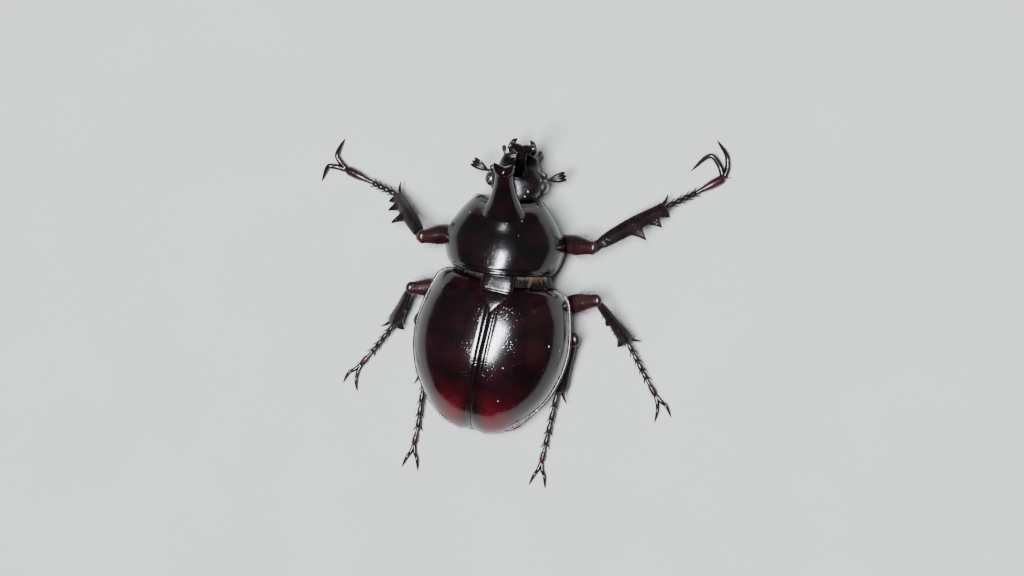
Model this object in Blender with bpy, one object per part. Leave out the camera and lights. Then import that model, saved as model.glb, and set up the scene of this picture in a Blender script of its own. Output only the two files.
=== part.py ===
"""Rhinoceros beetle: a still, life-size model of a small horned male, standing on six feet.

+Y is towards its head, +X is its right side and +Z is up. Sizes are in millimetres until a mesh is made.
The waist, where pronotum and elytra meet, is y = 0 until the last step centres the whole on its floor plan.
"""

import math

import bmesh
import bpy
from mathutils import Matrix, Vector

MM = 0.001
GAP = 0.3  # between neighbouring pieces
FLOOR = 0.0
SHARP_ANGLE = math.radians(40)

# Hind body: the two elytra over the abdomen
ELYTRA_WIDEST_Y = -9.5
ELYTRA_FRONT = 0.6
ELYTRA_LENGTH = 22.5
ELYTRA_OUTLINE = (
    (-22.5, 2.0), (-22.0, 3.8), (-21.4, 5.1), (-20.5, 6.3), (-19.2, 7.6), (-17.1, 9.2), (-15.2, 10.3),
    (-13.0, 11.1), (-11.0, 11.55), (-8.5, 11.75), (-6.0, 11.5), (-3.5, 10.95), (-1.0, 10.2), (0.0, 9.4),
    (0.6, 8.2),
)
ELYTRA_CROWN = 8.5
SHOULDER_CROWN = 6.8
ELYTRA_BOW = 1.2
EDGE_Z = 8.4
EDGE_SLOPE = 0.04
ELYTRA_SKIRT = 0.9
METASTERNUM_FRONT = -0.6
SCUTELLUM_OUTLINE = ((-4.4, 0.35), (-1.9, 2.4), (-1.2, 2.5), (0.2, 2.3))
SCUTELLUM_TOP = ((-4.4, 16.2), (-1.9, 15.75), (-1.2, 15.55), (0.2, 15.2))
COLLAR_HALF_WIDTH = 7.3
COLLAR_TOP = 14.3
COLLAR_FLOOR = 7.5

# Pronotum: (y, half width), (y, top)
PRONOTUM_REAR = 1.5
PRONOTUM_OUTLINE = (
    (PRONOTUM_REAR, 7.3), (2.4, 8.1), (3.9, 8.6), (5.6, 8.85), (6.8, 8.6), (8.0, 8.1), (9.5, 7.2),
    (10.8, 6.25), (12.4, 4.8),
)
PRONOTUM_TOP = ((PRONOTUM_REAR, 15.35), (2.7, 16.15), (4.5, 16.05), (7.5, 15.4), (10.5, 14.3), (12.4, 12.3))
PRONOTUM_EDGE_Z = 8.3
PRONOTUM_SKIRT = 1.2
REAR_BOW = 0.8

FRONT_BOW = 0.9

# Head, in its own frame: (y, half width), (y, top) and (y, floor), with y forward from the neck
NECK = (0.6, 12.75, 8.9)
NECK_LENGTH = 2.0
HEAD_YAW = -2.0
HEAD_ROLL = 8.0
HEAD_OUTLINE = ((0.0, 3.2), (1.4, 3.9), (2.4, 3.95), (4.0, 3.1), (6.0, 2.3))
HEAD_TOP = ((0.0, 2.3), (2.0, 2.4), (4.0, 1.4), (6.0, 0.0))
HEAD_FLOOR = ((0.0, -2.3), (2.5, -2.6), (6.0, -1.4))
NOTCH = 0.4
EYE_RADIUS = 1.0
EYE_SPOT = (3.75, 1.9, -0.1)

# Underside
BELLY_Z = 3.3
ABDOMEN_START = -10.6
ABDOMEN_END = -20.4
GROOVE_DEPTH = 0.22
# The body bends sideways at the waist: the hind body is turned about its middle
HIND_MIDDLE = (0.0, -9.2, 0.0)
HIND_SHIFT = -0.16
HIND_YAW = -5.5
PYGIDIUM_CENTRE = (0, -19.2, 5.3)
PYGIDIUM_SIZE = (7.2, 3.2, 1.8)

BLACK_SHELL = ((0.012, 0.004, 0.005, 1.0), 0.18)
RED_SHELL = ((0.065, 0.008, 0.010, 1.0), 0.16)
LEG_SHELL = ((0.020, 0.006, 0.006, 1.0), 0.25)
BELLY_SHELL = ((0.030, 0.010, 0.008, 1.0), 0.35)
EYE_SHELL = ((0.008, 0.007, 0.008, 1.0), 0.10)


def clear_scene():
    for thing in list(bpy.data.objects):
        bpy.data.objects.remove(thing)


def new_collection(name):
    group = bpy.data.collections.new(name)
    bpy.context.scene.collection.children.link(group)
    return group


def new_material(name, look):
    colour, roughness = look
    material = bpy.data.materials.new(name)
    material.use_nodes = True
    shader = material.node_tree.nodes["Principled BSDF"]
    shader.inputs["Base Color"].default_value = colour
    shader.inputs["Roughness"].default_value = roughness
    shader.inputs["Metallic"].default_value = 0.0
    return material


def mesh_of(bm, name):
    bmesh.ops.remove_doubles(bm, verts=bm.verts, dist=1e-3)
    bmesh.ops.recalc_face_normals(bm, faces=bm.faces)
    mesh = bpy.data.meshes.new(name)
    bm.to_mesh(mesh)
    bm.free()
    return mesh


def add_piece(name, bm, look):
    """Makes one named piece with its own material."""
    piece = bpy.data.objects.new(name, mesh_of(bm, name))
    piece.data.materials.append(new_material(name, look))
    piece.parent = root
    beetle.objects.link(piece)
    return piece


# ---- Curves and lofts ----


def slopes(stations):
    """Slopes at the stations that keep the curve from overshooting between them."""
    steps = [(b[1] - a[1]) / (b[0] - a[0]) for a, b in zip(stations, stations[1:])]
    middle = [0.0 if p * q <= 0 else 2 * p * q / (p + q) for p, q in zip(steps, steps[1:])]
    return [steps[0], *middle, steps[-1]]


def along(stations, t):
    """The value at t on a smooth curve through (t, value) stations."""
    t = min(max(t, stations[0][0]), stations[-1][0])
    index = next(i for i in range(len(stations) - 1) if t <= stations[i + 1][0])
    (t0, v0), (t1, v1) = stations[index : index + 2]
    m0, m1 = slopes(stations)[index : index + 2]
    span = t1 - t0
    u = (t - t0) / span
    rise = v0 * (1 + 2 * u) * (1 - u) ** 2 + v1 * (3 - 2 * u) * u**2
    return rise + span * (m0 * u * (1 - u) ** 2 - m1 * (1 - u) * u**2)


def evenly(start, end, count):
    return [start + (end - start) * i / (count - 1) for i in range(count)]


def power(value, exponent):
    return math.copysign(abs(value) ** exponent, value)


def arch_ring(y, half_width, edge, top, floor, over=2.3, under=2.3, bow=0.0, count=28):
    """Cross-section at y: one superellipse over the edge and another under it, bowed back at the middle."""
    ring = []
    for k in range(count):
        angle = 2 * math.pi * k / count
        across, up = math.cos(angle), math.sin(angle)
        square = over if up >= 0 else under
        rise = top - edge if up >= 0 else edge - floor
        side = power(across, 2 / square)
        ring.append((half_width * side, y - bow * (1 - side**2), edge + rise * power(up, 2 / square)))
    return ring


def loft(rings):
    """Closed surface through rings of points, all of one count, with a cap on each end."""
    bm = bmesh.new()
    loops = [[bm.verts.new(point) for point in ring] for ring in rings]
    for near, far in zip(loops, loops[1:]):
        for i in range(len(near)):
            j = (i + 1) % len(near)
            bm.faces.new((near[i], near[j], far[j], far[i]))
    bm.faces.new(reversed(loops[0]))
    bm.faces.new(loops[-1])
    bmesh.ops.recalc_face_normals(bm, faces=bm.faces)
    return bm


def smooth_path(points, each=3):
    """Points along a smooth curve through the given ones, each span divided in a few."""
    spots = [Vector(point) for point in points]
    ends = [2 * spots[0] - spots[1], *spots, 2 * spots[-1] - spots[-2]]
    path = []
    for a, b, c, d in zip(ends, ends[1:], ends[2:], ends[3:]):
        for step in range(each):
            t = step / each
            bend = (2 * a - 5 * b + 4 * c - d) * t**2 + (3 * b - a - 3 * c + d) * t**3
            path.append(0.5 * (2 * b + (c - a) * t + bend))
    return [*path, spots[-1]]


def tube(path, radii, wide=(0, 0, 1), flat=1.0, sides=8):
    """Tube along a path. Its radius follows (share of length, radius) stations, and flat thins it."""
    spots = [Vector(point) for point in path]
    lengths = [0.0]
    for a, b in zip(spots, spots[1:]):
        lengths.append(lengths[-1] + (b - a).length)
    rings = []
    for i, spot in enumerate(spots):
        tangent = (spots[min(i + 1, len(spots) - 1)] - spots[max(i - 1, 0)]).normalized()
        thin = tangent.cross(Vector(wide)).normalized()
        broad = thin.cross(tangent).normalized()
        radius = along(radii, lengths[i] / lengths[-1])
        ring = []
        for k in range(sides):
            angle = 2 * math.pi * (k + 0.5) / sides
            ring.append(spot + radius * (math.cos(angle) * broad + flat * math.sin(angle) * thin))
        rings.append(ring)
    return loft(rings)


def blob(centre, size, turn=0.0, segments=12):
    """Ellipsoid of three half sizes, turned about the vertical."""
    bm = bmesh.new()
    spin = Matrix.Rotation(math.radians(turn), 4, "Z")
    place = Matrix.Translation(centre) @ spin @ Matrix.Diagonal((*size, 1.0))
    bmesh.ops.create_uvsphere(bm, u_segments=segments, v_segments=segments // 2 + 1, radius=1.0, matrix=place)
    return bm


def cone(base, tip, radius, sides=6):
    """Cone whose tip is a small round, 0.4 of its base radius."""
    base, tip = Vector(base), Vector(tip)
    turn = (tip - base).to_track_quat("Z", "Y").to_matrix().to_4x4()
    place = Matrix.Translation((base + tip) / 2) @ turn
    bm = bmesh.new()
    bmesh.ops.create_cone(
        bm,
        cap_ends=True,
        segments=sides,
        radius1=radius,
        radius2=0.4 * radius,
        depth=(tip - base).length,
        matrix=place,
    )
    return bm


def slice_off(bm, point, normal):
    """Cuts away what lies on the normal's side of a plane, and closes the cut."""
    cut = bmesh.ops.bisect_plane(
        bm,
        geom=[*bm.verts, *bm.edges, *bm.faces],
        plane_co=point,
        plane_no=normal,
        clear_outer=True,
        dist=1e-5,
    )
    rim = [item for item in cut["geom_cut"] if isinstance(item, bmesh.types.BMEdge)]
    bmesh.ops.edgenet_fill(bm, edges=rim)
    return bm


# ---- Fitting pieces to each other ----


def settle(piece):
    """Applies a piece's modifiers to its mesh."""
    graph = bpy.context.evaluated_depsgraph_get()
    mesh = bpy.data.meshes.new_from_object(piece.evaluated_get(graph))
    piece.modifiers.clear()
    piece.data = mesh


def combine(piece, helper, operation):
    """Joins a helper to a piece, or cuts it away, and keeps the helper among the cutters."""
    cutters.objects.link(helper)
    helper.parent = root
    helper.hide_render = True
    helper.display_type = "WIRE"
    step = piece.modifiers.new(helper.name, "BOOLEAN")
    step.object = helper
    step.operation = operation
    step.solver = "EXACT"
    settle(piece)


def join(piece, bm):
    """Makes a further shape part of a piece."""
    mesh = mesh_of(bm, f"{piece.name}_addition")
    combine(piece, bpy.data.objects.new(mesh.name, mesh), "UNION")


def make_room(piece, neighbour, gap=GAP):
    """Cuts from a piece the room its neighbour takes, and the gap round it."""
    bm = bmesh.new()
    bm.from_mesh(neighbour.data)
    bm.normal_update()
    for corner in bm.verts:
        corner.co += corner.normal * gap
    mesh = mesh_of(bm, f"{piece.name}_room")
    combine(piece, bpy.data.objects.new(mesh.name, mesh), "DIFFERENCE")


# ---- Hind body ----


def hind_edge(y):
    return EDGE_Z + EDGE_SLOPE * y


def elytra_half_width(y):
    return along(ELYTRA_OUTLINE, y)


def elytra_crown(y):
    if y > ELYTRA_WIDEST_Y:
        return ELYTRA_CROWN - (ELYTRA_CROWN - SHOULDER_CROWN) * (1 - y / ELYTRA_WIDEST_Y) ** 2
    back = (ELYTRA_WIDEST_Y - y) / (ELYTRA_LENGTH + ELYTRA_WIDEST_Y)
    return ELYTRA_CROWN * (1 - back**2.2) ** 0.6


def rearwards(start, end, count):
    """Stations that crowd towards the rounded rear end."""
    return [start + (end - start) * math.sin(math.pi / 2 * i / (count - 1)) for i in range(count)]


def make_elytra():
    rings = []
    for y in (ELYTRA_FRONT, *rearwards(ELYTRA_FRONT - 0.5, 0.04 - ELYTRA_LENGTH, 13)):
        edge = hind_edge(y)
        skirt = ELYTRA_SKIRT * min(1.0, elytra_crown(y))
        bow = ELYTRA_BOW * max(0.0, 1 + (y - ELYTRA_FRONT) / 4)
        rounding = 0.95 if y == ELYTRA_FRONT else 1.0
        width, crown = rounding * elytra_half_width(y), rounding * elytra_crown(y)
        rings.append(arch_ring(y, width, edge, edge + crown, edge - skirt, 2.25, 6.0, bow, 32))
    whole = loft(rings)
    pieces = []
    for side, name in ((1, "elytron_right"), (-1, "elytron_left")):
        half = slice_off(whole.copy(), (side * GAP / 2, 0, 0), (-side, 0, 0))
        pieces.append(add_piece(name, half, RED_SHELL))
    whole.free()
    return pieces


def make_scutellum(elytra):
    """Rounded triangular plate set into the front of the elytra, along their slope."""
    rings = []
    for y in (0.2, -1.2, -1.9, -2.8, -3.6, -4.4):
        half_width, top = along(SCUTELLUM_OUTLINE, y), along(SCUTELLUM_TOP, y)
        rings.append(arch_ring(y, half_width, top - 0.35, top, top - 0.8, 2.4, 5.0, 0.0, 12))
    scutellum = add_piece("scutellum", loft(rings), BLACK_SHELL)
    for elytron in elytra:
        make_room(elytron, scutellum)
    return scutellum


def make_abdomen():
    """Belly of the hind body under the elytra, with a shallow groove between its rings."""
    rings = []
    grooves = (-12.2, -14.0, -15.8, -17.5)
    ridges = (ABDOMEN_START, -11.4, -13.1, -14.9, -16.7, -18.4, -19.6, ABDOMEN_END)
    stations = sorted((*ridges, *grooves), reverse=True)
    for y in stations:
        top = hind_edge(y) - ELYTRA_SKIRT - GAP
        width = 0.93 * elytra_half_width(y)
        floor = along(((ABDOMEN_END, 3.9), (-17.0, 3.5), (ABDOMEN_START, BELLY_Z)), y)
        sunk = GROOVE_DEPTH if y in grooves else 0.0
        rings.append(arch_ring(y, width - sunk, top - 0.7, top, floor + sunk, 6.0, 2.2, 0.0, 20))
    return add_piece("abdomen", loft(rings), BELLY_SHELL)


def make_pygidium():
    """Domed plate that closes the rear end below the elytra."""
    top = hind_edge(-ELYTRA_LENGTH) - ELYTRA_SKIRT - GAP
    bm = slice_off(blob(PYGIDIUM_CENTRE, PYGIDIUM_SIZE, segments=20), (0, 0, top), (0, 0, 1))
    slice_off(bm, (0, ABDOMEN_END - GAP, 0), (0, 1, 0))
    return add_piece("pygidium", bm, RED_SHELL)


def make_metasternum():
    """Broad underside plate between the middle and hind legs."""
    rings = []
    for y in (METASTERNUM_FRONT, -1.6, -4.0, -7.0, -9.4, -10.2):
        top = hind_edge(y) - ELYTRA_SKIRT - GAP
        width = 0.9 * elytra_half_width(y)
        floor = along(((-10.2, BELLY_Z), (-5.0, 2.9), (METASTERNUM_FRONT, 3.9)), y)
        rings.append(arch_ring(y, width, top - 0.7, top, floor, 6.0, 2.0, 0.0, 20))
    return add_piece("metasternum", loft(rings), BELLY_SHELL)


def behind_waist(point):
    """A point of the hind body's own frame, put where the bend at the waist takes it."""
    middle = Vector(HIND_MIDDLE)
    turn = Matrix.Rotation(math.radians(HIND_YAW), 3, "Z")
    return middle + Vector((HIND_SHIFT, 0, 0)) + turn @ (Vector(point) - middle)


def bend_at_waist():
    """Turns all that the hind body is made of so far."""
    for piece in (*beetle.objects, *cutters.objects):
        if piece is root:
            continue
        for corner in piece.data.vertices:
            corner.co = behind_waist(corner.co)


def make_mesothorax(scutellum):
    """Narrow collar that joins the fore body to the hind body between pronotum and elytra."""
    size = (COLLAR_HALF_WIDTH, PRONOTUM_EDGE_Z, COLLAR_TOP, COLLAR_FLOOR, 2.2, 2.4)
    front = arch_ring(PRONOTUM_REAR - GAP, *size, REAR_BOW, 24)
    rear = arch_ring(ELYTRA_FRONT + GAP, *size, ELYTRA_BOW, 24)
    collar = add_piece("mesothorax", loft((front, [behind_waist(point) for point in rear])), BLACK_SHELL)
    make_room(collar, scutellum, 0.15)


# ---- Fore body and head ----


def make_pronotum():
    rings = []
    for y in (PRONOTUM_REAR, 2.1, 3.3, 4.9, 6.6, 8.3, 9.8, 11.0, 11.8, 12.4):
        rear_bow = REAR_BOW * max(0.0, 1 - (y - PRONOTUM_REAR) / 3)
        bow = rear_bow + FRONT_BOW * max(0.0, (y - 9.0) / 3.4)
        edge = PRONOTUM_EDGE_Z + 0.05 * y
        top = along(PRONOTUM_TOP, y)
        width = along(PRONOTUM_OUTLINE, y)
        rings.append(arch_ring(y, width, edge, top, edge - PRONOTUM_SKIRT, 2.15, 6.0, bow, 30))
    return add_piece("pronotum", loft(rings), BLACK_SHELL)


def make_pronotal_horn(pronotum):
    """Short stout horn that leans forward from the front of the pronotum and is notched at its tip."""
    path = smooth_path(((0, 8.6, 12.9), (0, 12.2, 15.7), (0, 15.6, 18.3)))
    radii = ((0, 3.6), (0.35, 2.5), (0.65, 1.75), (1.0, 1.25))
    shaft = tube(path, radii, wide=(1, 0, 0), flat=0.72, sides=10)
    horn = add_piece("pronotal_horn", shaft, BLACK_SHELL)
    half = ((1.3, 16.4, 19.8), (0.8, 15.8, 18.9), (0, 15.3, 18.3))
    bow = smooth_path((*half, *((-x, y, z) for x, y, z in half[-2::-1])), 2)
    join(horn, tube(bow, ((0, 0.3), (0.3, 0.65), (0.5, 0.9), (0.7, 0.65), (1, 0.3)), sides=8))
    make_room(horn, pronotum)
    return horn


def in_head(x, y, z):
    """A point of the head's own frame, put at the neck, over whose length the head's turn and tilt grow."""
    share = min(1.0, max(0.0, y / NECK_LENGTH))
    turn = Matrix.Rotation(math.radians(HEAD_YAW * share), 4, "Z")
    tilt = Matrix.Rotation(math.radians(HEAD_ROLL * share), 4, "Y")
    return Matrix.Translation(NECK) @ turn @ tilt @ Vector((x, y, z))


def make_head():
    rings = []
    for y in (0.0, 0.9, 1.9, 2.8, 3.7, 4.6, 5.4, 6.0):
        half_width = along(HEAD_OUTLINE, y)
        edge = -0.1 * y
        bow = FRONT_BOW * max(0.0, 1 - y / 2) - NOTCH * max(0.0, (y - 4.0) / 2)
        ring = arch_ring(y, half_width, edge, along(HEAD_TOP, y), along(HEAD_FLOOR, y), 2.3, 2.3, bow, 22)
        rings.append([in_head(*point) for point in ring])
    return add_piece("head", loft(rings), BLACK_SHELL)


def make_eyes(head):
    x, y, z = EYE_SPOT
    for side, name in ((1, "eye_right"), (-1, "eye_left")):
        ball = blob(in_head(side * x, y, z), (EYE_RADIUS, 1.1 * EYE_RADIUS, EYE_RADIUS), HEAD_YAW, 12)
        make_room(add_piece(name, ball, EYE_SHELL), head, 0.12)


def make_head_horn(head):
    """Slender horn that rises from the head and forks at its tip into two spreading prongs."""
    rise = ((2.9, 0.6), (4.3, 2.9), (5.4, 6.0), (6.2, 9.2))
    shaft = smooth_path([in_head(0, y, z) for y, z in rise])
    wide = in_head(1, 3, 0) - in_head(0, 3, 0)
    thickness = ((0, 1.5), (0.25, 0.98), (0.55, 0.72), (1.0, 0.72))
    horn = add_piece("head_horn", tube(shaft, thickness, wide, 0.85, 8), BLACK_SHELL)
    half = ((1.75, 6.05, 10.45), (1.4, 6.55, 10.3), (0.7, 6.6, 9.85), (0, 6.2, 9.3))
    fork = [in_head(*spot) for spot in half] + [in_head(-x, y, z) for x, y, z in half[-2::-1]]
    thickness = ((0, 0.28), (0.25, 0.5), (0.5, 0.85), (0.75, 0.5), (1, 0.28))
    join(horn, tube(smooth_path(fork, 2), thickness, sides=8))
    make_room(horn, head, 0.2)
    return horn


def make_mouthparts():
    jaw_spots = ((1.1, 6.75, -0.95), (1.45, 7.4, -0.9), (1.1, 8.1, -0.75))
    palp_spots = ((1.5, 4.3, -2.7), (2.4, 5.7, -3.1), (2.8, 7.2, -3.9))
    for side, suffix in ((1, "right"), (-1, "left")):
        jaw = [in_head(side * x, y, z) for x, y, z in jaw_spots]
        mandible = tube(smooth_path(jaw), ((0, 0.6), (0.5, 0.55), (1, 0.3)), sides=8)
        add_piece(f"mandible_{suffix}", mandible, BLACK_SHELL)
        feeler = [in_head(side * x, y, z) for x, y, z in palp_spots]
        palp = tube(smooth_path(feeler, 2), ((0, 0.27), (0.5, 0.27), (0.85, 0.36), (1, 0.26)), sides=6)
        add_piece(f"palp_{suffix}", palp, LEG_SHELL)


ANTENNA_SPOTS = ((3.7, 3.75, -0.9), (4.0, 3.4, -1.15), (4.35, 3.15, -1.3))
CLUB_SPOT = (5.85, 3.55, -1.3)
CLUB_SIZE = (1.3, 0.9, 0.55)
CLUB_TURN = 23


def make_antennae():
    """Elbowed stalk from in front of each eye, and the oval club of leaves at its end."""
    for side, suffix in ((1, "right"), (-1, "left")):
        stalk = [in_head(side * x, y, z) for x, y, z in ANTENNA_SPOTS]
        antenna = tube(smooth_path(stalk, 2), ((0, 0.5), (0.35, 0.42), (0.6, 0.28), (1, 0.28)), sides=6)
        add_piece(f"antenna_{suffix}", antenna, LEG_SHELL)
        x, y, z = CLUB_SPOT
        club = blob(in_head(side * x, y, z), CLUB_SIZE, HEAD_YAW + side * CLUB_TURN, 10)
        add_piece(f"antenna_club_{suffix}", club, LEG_SHELL)


def make_prosternum():
    """Underside of the fore body, between the forelegs; its rear end reaches to the turned hind body."""
    rings = []
    for y in (0.9, 2.0, 4.0, 6.5, 9.0, 10.8, 11.7):
        top = PRONOTUM_EDGE_Z + 0.05 * y - PRONOTUM_SKIRT - GAP
        width = 0.88 * along(PRONOTUM_OUTLINE, max(y, PRONOTUM_REAR))
        floor = along(((0.9, 4.2), (5.5, 3.4), (9.0, 4.0), (11.7, 5.6)), y)
        rings.append(arch_ring(y, width, top - 0.6, top, floor, 6.0, 2.0, 0.0, 18))
    rings[0] = [(x, behind_waist((x, METASTERNUM_FRONT + GAP, z)).y, z) for x, y, z in rings[0]]
    return add_piece("prosternum", loft(rings), BELLY_SHELL)


# ---- Legs ----

# The joints of each leg, then the bend and the tip of each of its two claws
JOINTS = ("coxa", "hip", "knee", "ankle", "last", "toe")
LEGS = {
    "fore_right": (
        (
            (3.4, 7.0, 4.0), (6.0, 6.9, 4.2), (13.0, 6.5, 9.1),
            (22.4, 13.9, 4.1), (26.3, 16.6, 1.5), (30.2, 19.4, 0.6),
        ),
        ((30.3, 22.4, 0.7), (28.4, 24.9, 0.25)),
        ((27.9, 22.4, 1.3), (25.1, 19.9, 0.25)),
    ),
    "fore_left": (
        (
            (-3.4, 7.0, 4.0), (-6.0, 6.9, 4.2), (-12.3, 5.0, 9.0),
            (-18.0, 10.9, 2.9), (-22.0, 12.2, 1.2), (-26.6, 13.8, 0.6),
        ),
        ((-28.3, 15.8, 0.9), (-27.6, 18.4, 0.25)),
        ((-29.2, 14.0, 1.0), (-30.3, 11.6, 0.25)),
    ),
    "middle_right": (
        (
            (4.0, -2.6, 3.4), (6.8, -2.2, 3.5), (14.4, -1.0, 7.4),
            (19.2, -6.4, 2.6), (22.6, -11.6, 0.8), (24.2, -13.8, 0.42),
        ),
        ((26.0, -15.2, 0.75), (26.9, -16.8, 0.25)),
        ((24.8, -16.1, 0.75), (24.6, -17.9, 0.25)),
    ),
    "middle_left": (
        (
            (-4.0, -2.6, 3.4), (-6.8, -2.2, 3.5), (-13.3, -2.7, 7.2),
            (-15.9, -8.4, 2.6), (-19.0, -13.0, 0.8), (-20.5, -15.1, 0.42),
        ),
        ((-22.2, -16.6, 0.75), (-23.0, -18.3, 0.25)),
        ((-21.0, -17.5, 0.75), (-20.7, -19.3, 0.25)),
    ),
    "hind_right": (
        (
            (4.2, -9.2, 3.5), (6.6, -8.7, 3.7), (11.7, -7.1, 5.8),
            (9.9, -15.0, 2.7), (8.9, -23.4, 0.8), (8.6, -26.0, 0.42),
        ),
        ((9.3, -28.1, 0.75), (9.6, -29.9, 0.25)),
        ((7.8, -28.0, 0.75), (7.1, -29.7, 0.25)),
    ),
    "hind_left": (
        (
            (-4.2, -9.2, 3.5), (-6.6, -8.7, 3.7), (-11.7, -7.1, 5.8),
            (-10.3, -15.0, 2.7), (-10.6, -23.4, 0.8), (-10.9, -26.0, 0.42),
        ),
        ((-11.7, -28.0, 0.75), (-12.4, -29.7, 0.25)),
        ((-10.2, -28.1, 0.75), (-9.9, -29.9, 0.25)),
    ),
}
FEMUR_RADIUS = {"fore": 1.5, "middle": 1.4, "hind": 1.55}
# Tibia radii at knee, middle and end, how flat it is, and its teeth as (share of length, tooth length)
TIBIAE = {
    "fore": ((0.95, 1.0, 0.95), 0.5, ((0.58, 1.5), (0.81, 1.5), (0.96, 1.0))),
    "middle": ((0.65, 0.8, 1.15), 0.75, ((0.55, 1.0), (0.93, 1.2))),
    "hind": ((0.65, 0.85, 1.3), 0.75, ((0.55, 1.0), (0.93, 1.3))),
}
FOOT_RADII = {"fore": (0.42, 0.85), "middle": (0.34, 0.55), "hind": (0.36, 0.55)}
CLAW_RADIUS = {"fore": 0.55, "middle": 0.4, "hind": 0.4}
CLAW_TIP_RADIUS = 0.27
TOOTH_RADIUS = 0.75
SPUR_RADIUS = 0.42
SPUR_LENGTH = 2.2
BEADS = 4


def direction(a, b):
    return (Vector(b) - Vector(a)).normalized()


def mitre(bm, joint, before, after, side):
    """Cuts a limb at the joint's bisecting plane. Side is -1 before the joint and 1 after it."""
    normal = (direction(before, joint) + direction(joint, after)).normalized()
    return slice_off(bm, Vector(joint) + side * GAP / 2 * normal, -side * normal)


def limb(start, end, before, after, radii, wide, flat, sides, rings):
    """Straight limb that reaches a little past both joints, for mitred ends."""
    along_limb = direction(start, end)
    near, far = Vector(start) - before * along_limb, Vector(end) + after * along_limb
    path = [near.lerp(far, share) for share in evenly(0, 1, rings)]
    return tube(path, radii, wide, flat, sides)


def make_coxa(name, joints, body):
    """Thick root of the leg, set against the underside of the body."""
    coxa, hip, knee = joints["coxa"], joints["hip"], joints["knee"]
    radii = ((0, 0.7), (0.3, 1.35), (0.7, 1.3), (1, 0.9))
    bm = mitre(limb(coxa, hip, 1.5, 0.6, radii, (0, 1, 0), 0.9, 10, 6), hip, coxa, knee, -1)
    piece = add_piece(name, bm, LEG_SHELL)
    make_room(piece, body)
    return piece


def make_femur(name, pair, joints, body):
    coxa, hip, knee, ankle = (joints[key] for key in ("coxa", "hip", "knee", "ankle"))
    thick = FEMUR_RADIUS[pair]
    radii = ((0, 0.55 * thick), (0.3, 0.95 * thick), (0.55, thick), (0.85, 0.72 * thick), (1, 0.5 * thick))
    bm = limb(hip, knee, 0.8, 0.9, radii, (0, 1, 0.2), 0.78, 10, 7)
    bm = mitre(mitre(bm, hip, coxa, knee, 1), knee, hip, ankle, -1)
    piece = add_piece(name, bm, LEG_SHELL)
    make_room(piece, body)
    return piece


def make_tibia(name, pair, side, joints):
    """Digging blade or stout shin, with teeth along its outer edge and a spur at its end."""
    hip, knee, ankle = (joints[key] for key in ("hip", "knee", "ankle"))
    (thin, middle, broad), flat, teeth = TIBIAE[pair]
    shin = direction(knee, ankle)
    outer = side * shin.cross(Vector((0, 0, 1))).normalized()
    radii = ((0, 0.8 * thin), (0.15, thin), (0.5, middle), (0.92, broad), (1, 0.75 * broad))
    bm = mitre(limb(knee, ankle, 0.8, 0.0, radii, outer, flat, 8, 6), knee, hip, ankle, 1)
    piece = add_piece(name, bm, LEG_SHELL)
    for share, length in teeth:
        foot = Vector(knee).lerp(Vector(ankle), share)
        tip = foot + (0.85 * broad + length) * outer + 0.5 * length * shin
        join(piece, cone(foot + 0.3 * outer, tip, TOOTH_RADIUS, 5))
    spur = Vector(ankle) - 0.75 * broad * outer
    join(piece, cone(spur - 0.7 * shin, spur + SPUR_LENGTH * (0.8 * shin - 0.5 * outer), SPUR_RADIUS, 5))
    return piece


def make_tarsus(name, pair, joints):
    """Foot: four short beads and a longer last one, which stands on the floor."""
    thin, thick = FOOT_RADII[pair]
    ankle, last, toe = (Vector(joints[key]) for key in ("ankle", "last", "toe"))
    start = ankle + (GAP + 0.15) * direction(ankle, last)
    reach, foot = (last - start).length, (toe - last).length
    whole = reach + foot
    spots = []
    for bead in range(BEADS):
        for share, radius in ((0.0, 0.85 * thin), (0.55, 1.1 * thin), (0.85, 1.5 * thin)):
            done = (bead + share) / BEADS
            spots.append((start.lerp(last, done), reach / whole * done, radius))
    for share, radius in ((0.0, 0.85 * thin), (0.4, 0.8 * thick), (0.8, thick), (1.0, 0.85 * thick)):
        spots.append((last.lerp(toe, share), (reach + foot * share) / whole, radius))
    bm = tube([spot for spot, _, _ in spots], [(share, radius) for _, share, radius in spots], sides=6)
    return add_piece(name, slice_off(bm, (0, 0, FLOOR), (0, 0, -1)), LEG_SHELL)


def make_claws(name, pair, joints, claws):
    """Pair of curved claws that spring from the end of the foot, made as one bow."""
    thick = CLAW_RADIUS[pair]
    middle = Vector(joints["toe"]) + (thick + GAP) * direction(joints["last"], joints["toe"])
    middle.z = joints["toe"][2]
    (bend_a, tip_a), (bend_b, tip_b) = claws
    path = smooth_path((tip_a, bend_a, middle, bend_b, tip_b), 3)
    tip, half = CLAW_TIP_RADIUS, 0.75 * thick
    radii = ((0, tip), (0.28, half), (0.5, thick), (0.72, half), (1, tip))
    bm = slice_off(tube(path, radii, sides=6), (0, 0, FLOOR), (0, 0, -1))
    return add_piece(name, bm, BLACK_SHELL)


def make_leg(leg, body):
    pair, suffix = leg.split("_")
    spots, *claws = LEGS[leg]
    joints = dict(zip(JOINTS, spots))
    if pair != "fore":
        joints["coxa"] = behind_waist(joints["coxa"])
        joints["hip"] = behind_waist(joints["hip"])
    make_coxa(f"leg_{leg}_coxa", joints, body)
    make_femur(f"leg_{leg}_femur", pair, joints, body)
    make_tibia(f"leg_{leg}_tibia", pair, 1 if suffix == "right" else -1, joints)
    make_tarsus(f"leg_{leg}_tarsus", pair, joints)
    make_claws(f"leg_{leg}_claws", pair, joints, claws)


# ---- The whole beetle ----


def to_metres():
    for piece in (*beetle.objects, *cutters.objects):
        if piece is not root:
            piece.data.transform(Matrix.Scale(MM, 4))


def shade(piece):
    piece.data.shade_smooth()
    piece.data.set_sharp_from_angle(angle=SHARP_ANGLE)


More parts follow.
